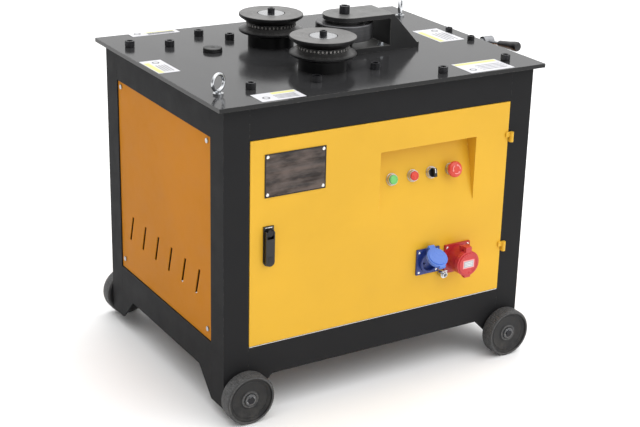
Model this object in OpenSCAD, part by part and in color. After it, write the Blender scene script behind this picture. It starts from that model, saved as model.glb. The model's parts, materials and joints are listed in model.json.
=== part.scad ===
// Three-roller arc bender for reinforcing bars: a wheeled steel cabinet, a work table,
// two geared groove rollers and a pressure roller on a screw-driven carriage.
// +X runs along the front to the right, +Y to the back, +Z up; the floor is z = 0.
// The origin is the middle of the footprint, so origin_x and origin_y shift the machine.

/* [Table] */
// Height of the work surface above the floor
table_h = 775; // [750:1:800]
// Length of the table plate, left to right
table_l = 900; // [880:1:940]
// Depth of the table plate, front to back
table_w = 690; // [680:1:720]
// Thickness of the table plate
table_t = 10; // [8:1:12]

/* [Frame] */
// Length of the cabinet frame
frame_l = 860; // [850:1:870]
// Depth of the cabinet frame
frame_w = 650; // [640:1:660]
// Width of a corner post on each face
post_face = 65; // [60:1:70]
// Thickness of the frame plate
plate_t = 5; // [4:0.5:6]
// Height of the top rails
top_rail_h = 80; // [70:1:90]
// Height of the base rails
base_rail_h = 82; // [70:1:90]
// Lower edge of the base rails above the floor
base_rail_z = 95; // [90:1:100]
// Lower edge of the feet above the floor
foot_z = 30; // [20:1:40]

/* [Door and panels] */
// Thickness of door and panel sheet
sheet_t = 2; // [1.5:0.5:3]
// Gap around the door and the panels
sheet_gap = 1.5; // [1:0.5:3]
// Depth of the folded edge of the door
door_fold = 22; // [15:1:30]
// Width of the control pocket
pocket_w = 280; // [260:1:300]
// Height of the control pocket
pocket_h = 167; // [150:1:180]
// Depth of the control pocket at its top
pocket_d = 42; // [35:1:45]

/* [Driven rollers] */
// Distance of the roller row from the cabinet's middle
roller_x = -75; // [-85:1:-65]
// Flange radius
flange_r = 81; // [78:0.5:84]
// Radius of the toothed groove
groove_r = 62; // [55:0.5:64]
// Underside of a roller above the table
roller_base = 34.5; // [32:0.5:40]
// Height of a roller
roller_h = 45.5; // [44:0.5:48]
// Teeth pressed into the groove
grip_teeth = 40; // [24:1:60]

/* [Gear train] */
// Gear module
gear_m = 4; // [4:1:4]
// Teeth on each roller gear
gear_z = 40; // [40:1:40]
// Teeth on the output pinion
pinion_z = 24; // [24:1:24]

/* [Pressure carriage] */
// Pressure roller position at rest
press_x = 62; // [58:1:70]
// Centre line of the carriage and the roller pair
line_y = -20; // [-25:1:-15]
// Pressure roller radius
press_r = 72; // [65:0.5:74]
// Travel towards the driven rollers
travel_in = 45; // [20:1:45]
// Travel away from the driven rollers
travel_out = 60; // [40:1:60]
// Depth of the lead screw axis under the work surface
screw_drop = 26; // [24:1:30]

/* [Wheels] */
// Wheel diameter
wheel_d = 125; // [125:1:125]
// Wheel width
wheel_w = 38; // [30:1:38]
// Distance of the axles from the cabinet's middle
wheel_x = 380; // [375:1:390]

/* [Hidden] */
$fn = 96;
eps = 0.01;
run = 0.05;            // radial clearance of a running shaft
air = 0.3;             // clearance between faces that pass each other

// Frame
hx = frame_l / 2;
hy = frame_w / 2;
top_z = table_h - table_t;
open_x = hx - post_face;
open_y = hy - post_face;
open_lo = base_rail_z + base_rail_h;
open_hi = top_z - top_rail_h;
lip_d = 30;
tab_w = 34;
tab_h = 45;
tab_t = 4;
panel_screw_r = 3;
slot_n = 6;
slot_pitch = 76;
slot_w = 10;
slot_lean = 20;
slot_lo = table_h - 505;
slot_hi = table_h - 436;
screw_in_y = open_y - 20;
screw_in_x = open_x - 22;
screw_hi = open_hi - 14;
screw_lo = open_lo + 28;

// Door
door_l = 2 * (open_x - sheet_gap);
door_lo = open_lo + sheet_gap;
door_hi = open_hi - sheet_gap;
door_y = -hy - 1;
pocket_x = 125;
pocket_top = table_h - 169;
pocket_tilt = atan(pocket_d / pocket_h);
control_z = table_h - 250;
control_y = door_y + pocket_d * (control_z - pocket_top + pocket_h) / pocket_h;
start_x = 32;
stop_x = 93;
select_x = 148;
estop_x = 206;
button_r = 9.4;
barrel_r = 11;
bezel_r = 14.8;
bezel_h = 9;
button_cap_r = 11.2;
button_seat = 3.4;
hinge_x = hx - 59;
hinge_r = 5.5;
hinge_y = -hy - hinge_r;
hinge_pin_r = 3;
hinge_half = 13;
hinge_leaf = 16;
hinge_zs = [297, 592];

// Lock
lock_x = -316.5;
lock_z = table_h - 315;
lock_w = 27;
lever_half = 11.5;
lock_lo = table_h - 399;
lock_hi = table_h - 300;
lock_plate_t = 3;
lever_r = 4.7;
lever_y = door_y - lock_plate_t - air - lever_r;

// Sockets and their lids; the blue lid stands half open and reaches furthest forward
red_x = 223;
red_z = table_h - 480;
red_flange = 76;
red_flange_t = 6;
red_depth = 34;
red_r = 33;
red_pin_z = 40;
red_lid_r = 33;
red_lid_t = 13;
blue_x = 134.5;
blue_z = table_h - 473.5;
blue_flange = 67;
blue_flange_t = 5;
blue_depth = 10;
blue_r = 27;
blue_pin_z = 32;
blue_lid_r = 27;
blue_lid_t = 8;
blue_open = 56;
pin_inset = 5;
lid_gap = 1;
latch_h = 4;
blue_mouth = door_y - blue_flange_t - blue_depth;
connector_x = 176.5;
connector_z = table_h - 513;

// Table fittings
screw_r = 8;
cap_r = 11.5;
cap_h = 15;
small_cap_r = 9;
small_cap_h = 11;
nut_r = 13.5;
nut_h = 13;
leg_points = [[-148, 193], [-148, -244], [38, -206], [14, 172]];
frame_screw_points = [[-407, 227], [-316, 191], [-203, 258], [-313, -231], [168, -304], [378, -275]];
bearing_x = 423;
bearing_points = [[bearing_x, line_y + 49.5], [bearing_x, line_y - 49.5]];
plug_x = -241;
plug_y = 103;
eye_points = [[-401, -243], [400, 231]];
eye_turns = [23, 47];
eye_r = 19;
eye_z = 28;
wire_r = 4;
neck_r = 6.5;
collar_r = 12;
collar_h = 4;

// Rollers and gears
gear_gap = gear_m * (gear_z + pinion_z) / 2;
roller_ys = [line_y + gear_gap, line_y - gear_gap];
roller_lo = table_h + roller_base;
roller_hi = roller_lo + roller_h;
rim_lo = 6.5;
rim_hi = 7.5;
grip_lo = 14;
grip_hi = 24.5;
notch_d = 1.2;
spindle_r = 18;
shaft_r = 22.5;
shaft_foot = 640;
gear_top = 700;
gear_t = 30;
housing_r = 50;
housing_flange_r = 58;
housing_foot = 712;
washer_r = 33;
washer_t = 6;
cradle_z = 632;
cradle_t = 8;
box_l = 180;
box_w = 170;
box_h = 150;

// Carriage
throat_lo = 14;
throat_hi = 82;
arm_top = 93;
arm_r = 55;
press_lo = 34.5;
press_hi = 75;
pin_r = 12;
back_x = 165;
back_t = 12;
base_x0 = 0;
base_x1 = 254;
nut_x0 = 110;
nut_x1 = 170;
tongue_w = 20;
lead_r = 10;
lead_z = table_h - screw_drop;
hub_x0 = 500;
hub_l = 30;
lever_tilt = 7;

// Wheels
axle_r = 10;
wheel_gap = 8;
hub_set = 6;

// Reach of the machine on each side, which sets the origin
left_reach = table_l / 2;
right_reach = hub_x0 + hub_l;
rear_reach = hy + wheel_gap + wheel_w;
front_reach = -(blue_mouth + pin_inset) + (pin_inset + lid_gap + blue_lid_t) * cos(blue_open)
    + (blue_pin_z + blue_lid_r + latch_h) * sin(blue_open);
origin_x = (right_reach - left_reach) / 2;
origin_y = (rear_reach - front_reach) / 2;

// ---------- helpers ----------

// Moves the machine so that the middle of its footprint is the origin
module machine() { translate([-origin_x, -origin_y, 0]) children(); }

module box(lo, hi) { translate(lo) cube(hi - lo); }

// A round bar along Z, X or Y between two places
module rod(x, y, z0, z1, r) { translate([x, y, z0]) cylinder(r = r, h = z1 - z0); }
module rod_x(x0, x1, y, z, r) { translate([x0, y, z]) rotate([0, 90, 0]) cylinder(r = r, h = x1 - x0); }
module rod_y(x, y0, y1, z, r) { translate([x, y1, z]) rotate([90, 0, 0]) cylinder(r = r, h = y1 - y0); }

// A hexagon nut or head across corners 2r
module hex(x, y, z0, z1, r) { translate([x, y, z0]) cylinder(r = r, h = z1 - z0, $fn = 6); }

// Profile in the YZ plane, extruded from x0 to x1
module yz_prism(x0, x1, points) {
    translate([x0, 0, 0]) rotate([90, 0, 90]) linear_extrude(x1 - x0) polygon(points);
}

// Profile in the XZ plane, extruded from y0 to y1
module xz_prism(y0, y1, points) {
    translate([0, y1, 0]) rotate([90, 0, 0]) linear_extrude(y1 - y0) polygon(points);
}

// ---------- table ----------

module table_top() {
    color("#3a3b3d") machine() difference() {
        box([-table_l / 2, -table_w / 2, top_z], [table_l / 2, table_w / 2, table_h]);
        for (p = concat(leg_points, frame_screw_points, bearing_points, eye_points))
            rod(p[0], p[1], top_z - 1, table_h + 1, screw_r + run);
        for (y = roller_ys)
            rod(roller_x, y, top_z - 1, table_h + 1, housing_r + run);
        rod(plug_x, plug_y, top_z - 1, table_h + 1, 20 + run);
        box([nut_x0 - travel_in - 3, line_y - tongue_w / 2 - air, top_z - 1],
            [nut_x1 + travel_out + 3, line_y + tongue_w / 2 + air, table_h + 1]);
    }
}

// A cap screw with its socket; drop is the length under the work surface
module cap_screw(x, y, drop, head_r, head_h) {
    difference() {
        union() {
            rod(x, y, table_h, table_h + head_h, head_r);
            rod(x, y, table_h - drop, table_h + eps, screw_r);
        }
        hex(x, y, table_h + head_h / 2, table_h + head_h + 1, head_r * 0.65);
    }
}

// A nut against the underside of the table
module table_nut(x, y) { hex(x, y, top_z - nut_h, top_z, nut_r); }

module table_screws() {
    color("#1c1c1e") machine() {
        for (p = leg_points)
            cap_screw(p[0], p[1], 40, cap_r, cap_h);
        for (p = bearing_points)
            cap_screw(p[0], p[1], 34, small_cap_r, small_cap_h);
        for (p = frame_screw_points) {
            cap_screw(p[0], p[1], 30, cap_r, cap_h);
            table_nut(p[0], p[1]);
        }
    }
}

module table_plug() {
    color("#222222") machine() {
        rod(plug_x, plug_y, table_h, table_h + 4, 24);
        rod(plug_x, plug_y, top_z, table_h + eps, 20);
    }
}

// Lifting eye: collar, neck, ring, shank and its nut
module eyebolt(x, y, turn) {
    rod(x, y, table_h, table_h + collar_h, collar_r);
    rod(x, y, table_h + collar_h - eps, table_h + eye_z - eye_r + 1, neck_r);
    translate([x, y, table_h + eye_z]) rotate([90, 0, turn])
        rotate_extrude() translate([eye_r, 0]) circle(r = wire_r, $fn = 32);
    rod(x, y, table_h - 30, table_h + eps, screw_r);
    table_nut(x, y);
}

module eyebolts() {
    color("#d8dadc") machine() for (i = [0, 1]) eyebolt(eye_points[i][0], eye_points[i][1], eye_turns[i]);
}

// ---------- frame ----------

// An angle post at the corner with the signs sx, sy; the wheel bolt passes through it
module corner_post(sx, sy) {
    x0 = min(sx * hx, sx * (hx - post_face));
    y0 = min(sy * hy, sy * (hy - post_face));
    xw = min(sx * hx, sx * (hx - plate_t));
    yw = min(sy * hy, sy * (hy - plate_t));
    difference() {
        union() {
            box([x0, yw, foot_z], [x0 + post_face, yw + plate_t, top_z]);
            box([xw, y0, foot_z], [xw + plate_t, y0 + post_face, top_z]);
        }
        rod_y(sx * wheel_x, yw - 1, yw + plate_t + 1, wheel_d / 2, axle_r + run);
    }
}

// The keeper behind the front left post holds the lock's cam
module corner_posts() {
    color("#2e2f31") machine() {
        for (sx = [-1, 1], sy = [-1, 1]) corner_post(sx, sy);
        box([-open_x - 14, -hy + plate_t - eps, lock_z - 12], [-open_x - 2, -hy + 24.5, lock_z + 12]);
    }
}

// A tab behind a panel corner, in the wall x = side * hx
module side_tab(side, y, z) {
    x0 = side > 0 ? hx - plate_t - tab_t : -hx + plate_t;
    difference() {
        box([x0, y - tab_w / 2, z - tab_h / 2], [x0 + tab_t, y + tab_w / 2, z + tab_h / 2]);
        rod_x(x0 - 1, x0 + tab_t + 1, y, z, panel_screw_r + run);
    }
}

module rear_tab(x, z) {
    y0 = hy - plate_t - tab_t;
    difference() {
        box([x - tab_w / 2, y0, z - tab_h / 2], [x + tab_w / 2, y0 + tab_t, z + tab_h / 2]);
        rod_y(x, y0 - 1, y0 + tab_t + 1, z, panel_screw_r + run);
    }
}

module top_rails_long() {
    color("#2e2f31") machine() {
        for (s = [-1, 1]) {
            y0 = min(s * hy, s * (hy - plate_t));
            l0 = min(s * (hy - plate_t + eps), s * (hy - plate_t - lip_d));
            box([-open_x, y0, open_hi], [open_x, y0 + plate_t, top_z]);
            box([-open_x, l0, open_hi], [open_x, l0 + lip_d, open_hi + plate_t]);
        }
        for (s = [-1, 1]) rear_tab(s * screw_in_x, screw_hi);
    }
}

module top_rails_short() {
    color("#2e2f31") machine() difference() {
        for (s = [-1, 1]) {
            x0 = min(s * hx, s * (hx - plate_t));
            l0 = min(s * (hx - plate_t + eps), s * (hx - plate_t - lip_d));
            box([x0, -open_y, open_hi], [x0 + plate_t, open_y, top_z]);
            box([l0, -open_y, open_hi], [l0 + lip_d, open_y, open_hi + plate_t]);
            for (t = [-1, 1]) side_tab(s, t * screw_in_y, screw_hi);
        }
        box([hx - plate_t - 1, line_y - 65 - air, lead_z - 26 - air], [hx + 1, line_y + 65 + air, top_z + 1]);
    }
}

// The base rail carries the slanted feet at its ends
module base_rails_long() {
    outline = [[-open_x, open_lo], [open_x, open_lo], [open_x, foot_z],
        [open_x - post_face, base_rail_z], [-open_x + post_face, base_rail_z], [-open_x, foot_z]];
    color("#2e2f31") machine() {
        for (s = [-1, 1]) {
            y0 = min(s * hy, s * (hy - plate_t));
            l0 = min(s * (hy - plate_t + eps), s * (hy - plate_t - lip_d));
            xz_prism(y0, y0 + plate_t, outline);
            box([-open_x, l0, open_lo - plate_t], [open_x, l0 + lip_d, open_lo]);
        }
        for (s = [-1, 1]) rear_tab(s * screw_in_x, screw_lo);
    }
}

module base_rails_short() {
    outline = [[-open_y, open_lo], [open_y, open_lo], [open_y, foot_z],
        [open_y - post_face, base_rail_z], [-open_y + post_face, base_rail_z], [-open_y, foot_z]];
    color("#2e2f31") machine() for (s = [-1, 1]) {
        x0 = min(s * hx, s * (hx - plate_t));
        l0 = min(s * (hx - plate_t + eps), s * (hx - plate_t - lip_d));
        yz_prism(x0, x0 + plate_t, outline);
        box([l0, -open_y, open_lo - plate_t], [l0 + lip_d, open_y, open_lo]);
        for (t = [-1, 1]) side_tab(s, t * screw_in_y, screw_lo);
    }
}

// The cradle hangs under the table on four legs and carries the gearbox
module drive_cradle() {
    color("#4a4c4f") machine() difference() {
        union() {
            box([-180, -276, cradle_z], [70, 225, cradle_z + cradle_t]);
            for (p = leg_points) rod(p[0], p[1], cradle_z, top_z, 18);
        }
        for (p = leg_points) rod(p[0], p[1], table_h - 42, top_z + 1, screw_r + run);
        rod(roller_x, line_y, cradle_z - 1, cradle_z + cradle_t + 1, 30);
    }
}

// ---------- panels ----------

// Slanted vent slots along a wall, cut as one profile in (along, up) coordinates
function slot_outline(i) =
    let (a = (i - (slot_n - 1) / 2) * slot_pitch)
    [[a + slot_lean / 2, slot_lo], [a + slot_lean / 2 + slot_w, slot_lo],
     [a - slot_lean / 2 + slot_w, slot_hi], [a - slot_lean / 2, slot_hi]];

module side_panel(side) {
    x0 = side > 0 ? hx - plate_t : -hx + plate_t - sheet_t;
    difference() {
        box([x0, -open_y + sheet_gap, open_lo + sheet_gap],
            [x0 + sheet_t, open_y - sheet_gap, open_hi - sheet_gap]);
        for (i = [0 : slot_n - 1]) yz_prism(x0 - 1, x0 + sheet_t + 1, slot_outline(i));
        for (t = [-1, 1], z = [screw_lo, screw_hi])
            rod_x(x0 - 1, x0 + sheet_t + 1, t * screw_in_y, z, panel_screw_r + run);
    }
}

module left_panel() { color("#f0b23c") machine() side_panel(-1); }
module right_panel() { color("#f0b23c") machine() side_panel(1); }

module rear_panel() {
    y0 = hy - plate_t;
    color("#f0b23c") machine() difference() {
        box([-open_x + sheet_gap, y0, open_lo + sheet_gap],
            [open_x - sheet_gap, y0 + sheet_t, open_hi - sheet_gap]);
        for (i = [0 : slot_n - 1]) xz_prism(y0 - 1, y0 + sheet_t + 1, slot_outline(i));
        for (t = [-1, 1], z = [screw_lo, screw_hi])
            rod_y(t * screw_in_x, y0 - 1, y0 + sheet_t + 1, z, panel_screw_r + run);
    }
}

module panel_screws() {
    head_r = 6;
    head_h = 3;
    grip = sheet_t + tab_t + 2;
    color("#33343a") machine() {
        for (s = [-1, 1], t = [-1, 1], z = [screw_lo, screw_hi]) {
            face = hx - plate_t + sheet_t;
            x0 = s > 0 ? face - grip : -face;
            rod_x(x0, x0 + grip, t * screw_in_y, z, panel_screw_r);
            rod_x(s > 0 ? face : -face - head_h, s > 0 ? face + head_h : -face, t * screw_in_y, z, head_r);
        }
        for (t = [-1, 1], z = [screw_lo, screw_hi]) {
            face = hy - plate_t + sheet_t;
            rod_y(t * screw_in_x, face - grip, face, z, panel_screw_r);
            rod_y(t * screw_in_x, face, face + head_h, z, head_r);
        }
    }
}

// ---------- door ----------

// Local frame on the sloped control panel: +Z is its outward normal
module on_pocket(x) { translate([x, control_y, control_z]) rotate([90 - pocket_tilt, 0, 0]) children(); }

// Wedge of the pocket, grown by g on every side that is sheet
module pocket_wedge(g) {
    lo = pocket_top - pocket_h - g / sin(pocket_tilt) * (1 - cos(pocket_tilt)) - g;
    deep = pocket_d * (pocket_top + g - lo) / pocket_h;
    front = door_y - (g > 0 ? -eps : 1);
    shift = g > 0 ? 0 : pocket_h / pocket_d;
    yz_prism(pocket_x - pocket_w / 2 - g, pocket_x + pocket_w / 2 + g,
        [[front, lo - shift], [front, pocket_top + g], [door_y + deep, pocket_top + g]]);
}

module door() {
    x1 = door_l / 2;
    y1 = door_y + sheet_t;
    color("#f4bd45") machine() difference() {
        union() {
            difference() {
                box([-x1, door_y, door_lo], [x1, y1 + door_fold, door_hi]);
                box([-x1 + sheet_t, y1, door_lo + sheet_t],
                    [x1 - sheet_t, y1 + door_fold + 1, door_hi - sheet_t]);
            }
            pocket_wedge(sheet_t);
        }
        pocket_wedge(0);
        for (x = [start_x, stop_x, select_x, estop_x])
            on_pocket(x) translate([0, 0, -20]) cylinder(r = barrel_r + run, h = 40);
        rod_y(lock_x, door_y - 1, y1 + 1, lock_z, 8 + run);
        rod_y(red_x, door_y - 1, y1 + 1, red_z, 30);
        rod_y(blue_x, door_y - 1, y1 + 1, blue_z, 26);
        rod_y(connector_x, door_y - 1, y1 + 1, connector_z, 6 + run);
    }
}

// Half of each hinge is welded to the post and carries the pin
module hinge_posts() {
    color("#e9b23e") machine() for (z = hinge_zs) {
        rod(hinge_x, hinge_y, z - hinge_half, z - 0.5, hinge_r);
        rod(hinge_x, hinge_y, z - hinge_half, z + hinge_half - 1, hinge_pin_r);
        box([hinge_x - hinge_r, hinge_y, z - hinge_half], [hinge_x + hinge_r, -hy, z - 0.5]);
    }
}

module hinge_sleeves() {
    color("#e9b23e") machine() for (z = hinge_zs) difference() {
        union() {
            rod(hinge_x, hinge_y, z, z + hinge_half, hinge_r);
            box([hinge_x - hinge_leaf, door_y - 4, z], [hinge_x, door_y, z + hinge_half]);
        }
        rod(hinge_x, hinge_y, z - 1, z + hinge_half - 0.8, hinge_pin_r + run);
    }
}

module nameplate() {
    color("#6f6553") machine() box([-327, door_y - 1.5, table_h - 231], [-167, door_y, table_h - 127]);
}

// ---------- lock ----------

module lock_plate() {
    end_r = lock_w / 2;
    y0 = door_y - lock_plate_t;
    color("#1b1b1d") machine() difference() {
        union() {
            rod_y(lock_x, y0, door_y, lock_lo + end_r, end_r);
            box([lock_x - end_r, y0, lock_lo + end_r], [lock_x + end_r, door_y, lock_hi]);
        }
        rod_y(lock_x, y0 - 1, door_y + 1, lock_z, 8 + run);
    }
}

// Spindle through the door, the cross pin of the lever and the cam behind the door.
// The cam points up when the lever hangs down; a quarter turn takes it behind the keeper.
module lock_cam() {
    cam_y = -hy + 25;
    color("#b9bcc0") machine() {
        rod_y(lock_x, lever_y - 4, cam_y + 4, lock_z, 8);
        rod_x(lock_x - lever_half, lock_x + lever_half, lever_y, lock_z, 2);
        box([lock_x - 8, cam_y, lock_z], [lock_x + 8, cam_y + 4, lock_z + 61]);
    }
}

// The lever is forked around the spindle and lifts on its cross pin
module lock_lever() {
    w = lever_half;
    color("#202023") machine() difference() {
        union() {
            box([lock_x - w, lever_y - lever_r, lock_lo + 14], [lock_x + w, lever_y + lever_r, lock_z]);
            rod_x(lock_x - w, lock_x + w, lever_y, lock_z, lever_r);
            rod_y(lock_x, lever_y - lever_r, lever_y + lever_r, lock_lo + 14, w);
        }
        box([lock_x - 8.5, lever_y - lever_r - 1, lock_z - 14],
            [lock_x + 8.5, lever_y + lever_r + 1, lock_z + 12]);
        rod_x(lock_x - w - 1, lock_x + w + 1, lever_y, lock_z, 2 + run);
    }
}

// ---------- controls ----------

// Bezel, barrel, ring nut and contact block of one control
module control_body() {
    difference() {
        union() {
            cylinder(r1 = bezel_r, r2 = bezel_r - 1.5, h = bezel_h);
            translate([0, 0, -26]) cylinder(r = barrel_r, h = 27);
            translate([0, 0, -9.5]) cylinder(r = 14, h = 5.5);
            translate([-14, -20, -62]) cube([28, 40, 38]);
        }
        translate([0, 0, -21]) cylinder(r = button_r + air, h = 30);
        translate([0, 0, button_seat]) cylinder(r = button_cap_r + air, h = bezel_h);
    }
}

module control_bodies() {
    color("#8d9095") machine() for (x = [start_x, stop_x, select_x, estop_x]) on_pocket(x) control_body();
}

module button_cap() {
    translate([0, 0, -14]) cylinder(r = button_r, h = 22);
    translate([0, 0, 7.2]) cylinder(r = button_cap_r, h = 4.5);
    translate([0, 0, 11.7 - eps]) cylinder(r1 = button_cap_r, r2 = button_cap_r - 1.2, h = 1);
}

module start_button() { color("#1f8a45") machine() on_pocket(start_x) button_cap(); }
module stop_button() { color("#c5262b") machine() on_pocket(stop_x) button_cap(); }

module selector_knob() {
    color("#1a1a1c") machine() on_pocket(select_x) {
        translate([0, 0, -14]) cylinder(r = button_r, h = 21);
        translate([0, 0, button_seat + 0.4]) cylinder(r = button_cap_r, h = 7);
        translate([-4, -10.5, 10]) cube([8, 21, 11]);
    }
}

module estop_head() {
    color("#cf2127") machine() on_pocket(estop_x) {
        translate([0, 0, -12]) cylinder(r = button_r, h = 29);
        rotate_extrude() polygon(concat([[0, 16], [15, 16], [20, 18.5], [20, 22]],
            [for (a = [15 : 15 : 90]) [20 * cos(a), 22 + 7 * sin(a)]]));
    }
}

// ---------- sockets ----------

// Square flange, round body with an open mouth, hinge ears with their pin, and contact pins
module inlet(x, z, flange, flange_t, r, depth, pins, pin_ring, pin_z) {
    mouth = door_y - flange_t - depth;
    pin_y = mouth + pin_inset;
    difference() {
        union() {
            box([x - flange / 2, door_y - flange_t, z - flange / 2],
                [x + flange / 2, door_y, z + flange / 2]);
            rod_y(x, mouth, door_y - flange_t + eps, z, r);
            rod_y(x, door_y - eps, door_y + 22, z, r - 7);
            for (s = [-1, 1])
                box([x + s * 11 - 2, mouth, z + r - 8], [x + s * 11 + 2, mouth + 10, z + pin_z + 4]);
        }
        rod_y(x, mouth - 1, door_y - 3, z, r - 5);
    }
    rod_x(x - 13, x + 13, pin_y, z + pin_z, 2);
    for (i = [0 : pins - 1]) {
        a = 360 / pins * i + 90;
        rod_y(x + pin_ring * cos(a), mouth + 6, door_y - 2.5, z + pin_ring * sin(a), 2.5);
    }
}

// Lid of an inlet: disc, label pad, latch nub and the knuckle on the hinge pin
module lid(x, z, mouth, r, t, pin_z) {
    pin_y = mouth + pin_inset;
    back = mouth - lid_gap;
    difference() {
        union() {
            rod_y(x, back - t, back, z, r);
            rod_y(x, back - t - 2, back - t + eps, z, r - 4);
            box([x - 8.5, back - t, z + r - 8], [x + 8.5, back, z + pin_z + 4]);
            box([x - 8.5, back - eps, z + pin_z - 2], [x + 8.5, pin_y, z + pin_z + 4]);
            rod_x(x - 8.5, x + 8.5, pin_y, z + pin_z, 4);
            box([x - 9, back - t, z - r - latch_h], [x + 9, back, z - r + 6]);
        }
        rod_x(x - 9, x + 9, pin_y, z + pin_z, 2 + run);
    }
}

module red_inlet() {
    color("#b5262a") machine()
        inlet(red_x, red_z, red_flange, red_flange_t, red_r, red_depth, 5, 16, red_pin_z);
}

module red_lid() {
    color("#cc3a3a") machine()
        lid(red_x, red_z, door_y - red_flange_t - red_depth, red_lid_r, red_lid_t, red_pin_z);
}

module blue_inlet() {
    color("#1f3f94") machine()
        inlet(blue_x, blue_z, blue_flange, blue_flange_t, blue_r, blue_depth, 3, 12, blue_pin_z);
}

module blue_lid() {
    hinge = [blue_x, blue_mouth + pin_inset, blue_z + blue_pin_z];
    color("#4f7fe0") machine() translate(hinge) rotate([-blue_open, 0, 0]) translate(-hinge)
        lid(blue_x, blue_z, blue_mouth, blue_lid_r, blue_lid_t, blue_pin_z);
}

module pedal_connector() {
    color("#d7d8da") machine() difference() {
        union() {
            rod_y(connector_x, door_y - 4, door_y, connector_z, 7.8);
            rod_y(connector_x, door_y - 24, door_y - 4 + eps, connector_z, 7);
            rod_y(connector_x, door_y - 19, door_y - 7, connector_z, 10);
            rod_y(connector_x, door_y - eps, door_y + 12, connector_z, 6);
        }
        rod_y(connector_x, door_y - 25, door_y - 14, connector_z, 4.5);
    }
}

// Contactor box on the rear panel's inner side
module switch_box() {
    color("#b7babd") machine() {
        box([100, hy - 130, 300], [320, hy - plate_t - 0.5, 600]);
        box([104, hy - 136, 304], [316, hy - 130 + eps, 596]);
        rod(150, hy - 70, 285, 300 + eps, 10);
        rod(200, hy - 70, 285, 300 + eps, 10);
    }
}

// ---------- wheels ----------

// A moulded wheel with its outer side towards -Y, centred on the axle
module wheel_solid() {
    r = wheel_d / 2;
    w = wheel_w;
    rotate([90, 0, 0]) difference() {
        rotate_extrude() polygon([[0, 0], [20, 0], [22, 5], [42, 5], [45, 1], [r - 3, 1], [r, 4], [r, w - 4],
            [r - 2.5, w], [r - 7, w], [r - 9, w - 6], [26, w - 9], [22, w - hub_set], [0, w - hub_set]]);
        translate([0, 0, -1]) cylinder(r = axle_r + run, h = w + 2);
    }
}

module wheel(sx, sy) {
    color("#1d1d1f") machine() translate([sx * wheel_x, sy * (hy + wheel_gap), wheel_d / 2])
        mirror([0, sy > 0 ? 1 : 0, 0]) wheel_solid();
}

module wheel_front_left() { wheel(-1, -1); }
module wheel_front_right() { wheel(1, -1); }
module wheel_rear_left() { wheel(-1, 1); }
module wheel_rear_right() { wheel(1, 1); }

// A shouldered bolt with its nut inside and its retaining washer outside
module wheel_axle(sx, sy) {
    hub = -(wheel_gap + wheel_w - hub_set);
    translate([sx * wheel_x, sy * hy, wheel_d / 2]) mirror([0, sy > 0 ? 1 : 0, 0]) {
        rod_y(0, -wheel_gap + air, 0, 0, 16);
        rod_y(0, hub - 2, plate_t + 14, 0, axle_r);
        rod_y(0, hub - 2.5, hub - air, 0, 14);
        translate([0, hub - 2.4, 0]) rotate([90, 0, 0]) cylinder(r = 10, h = 3, $fn = 6);
        translate([0, plate_t + 12, 0]) rotate([90, 0, 0]) cylinder(r = 17, h = 12, $fn = 6);
    }
}

module wheel_axles() {
    color("#a9acb0") machine() for (sx = [-1, 1], sy = [-1, 1]) wheel_axle(sx, sy);
}

// ---------- driven rollers ----------

module bearing_housings() {
    color("#26272a") machine() for (y = roller_ys) difference() {
        union() {
            rod(roller_x, y, table_h, table_h + 27, housing_flange_r);
            rod(roller_x, y, housing_foot, table_h + eps, housing_r);
        }
        rod(roller_x, y, housing_foot - 1, table_h + 28, shaft_r + run);
    }
}

module roller_shaft(y) {
    color("#9a9da1") machine() difference() {
        union() {
            rod(roller_x, y, shaft_foot, gear_top, 20);
            rod(roller_x, y, gear_top - eps, roller_lo, shaft_r);
            rod(roller_x, y, roller_lo - eps, roller_hi - washer_t, spindle_r);
        }
        rod(roller_x, y, roller_hi - 40, roller_hi, 6 + run);
    }
}

// Lower flange, cone and toothed groove of a driven roller
module groove_roller(y) {
    profile = [[0, 0], [flange_r - 1.5, 0], [flange_r, 1.5], [flange_r, rim_lo - 1], [flange_r - 1, rim_lo],
        [groove_r + 3, grip_lo], [groove_r, grip_lo + 1], [groove_r, grip_hi], [0, grip_hi]];
    color("#303236") machine() translate([roller_x, y, roller_lo]) difference() {
        rotate_extrude() polygon(profile);
        translate([0, 0, -1]) cylinder(r = spindle_r + run, h = roller_h);
        for (i = [0 : grip_teeth - 1])
            rotate([0, 0, 360 / grip_teeth * i]) translate([groove_r - notch_d, 0, grip_lo + 1.5])
                rotate([0, 0, -45]) cube([6, 6, 20]);
    }
}

module upper_flange(y) {
    rim = roller_h - rim_hi;
    profile = [[0, grip_hi], [groove_r - 1, grip_hi], [flange_r - 1, rim], [flange_r, rim + 1],
        [flange_r, roller_h - 1.5], [flange_r - 1.5, roller_h], [0, roller_h]];
    color("#3b3d41") machine() translate([roller_x, y, roller_lo]) difference() {
        rotate_extrude() polygon(profile);
        cylinder(r = spindle_r + run, h = roller_h + 1);
        translate([0, 0, roller_h - washer_t]) cylinder(r = washer_r + 1.5, h = washer_t + 1);
    }
}

module clamp_washer(y) {
    color("#dfe1e3") machine() difference() {
        rod(roller_x, y, roller_hi - washer_t, roller_hi, washer_r);
        rod(roller_x, y, roller_hi - washer_t - 1, roller_hi + 1, 6.3);
    }
}

module clamp_screw(y) {
    color("#1a1a1c") machine() difference() {
        union() {
            rod(roller_x, y, roller_hi, roller_hi + 12, 9);
            rod(roller_x, y, roller_hi - 36, roller_hi + eps, 6);
        }
        hex(roller_x, y, roller_hi + 5, roller_hi + 13, 5.8);
    }
}

// Involute function in degrees for a radius r on the base circle b
function inv(r, b) = sqrt(pow(r / b, 2) - 1) * 180 / PI - acos(b / r);

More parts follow.
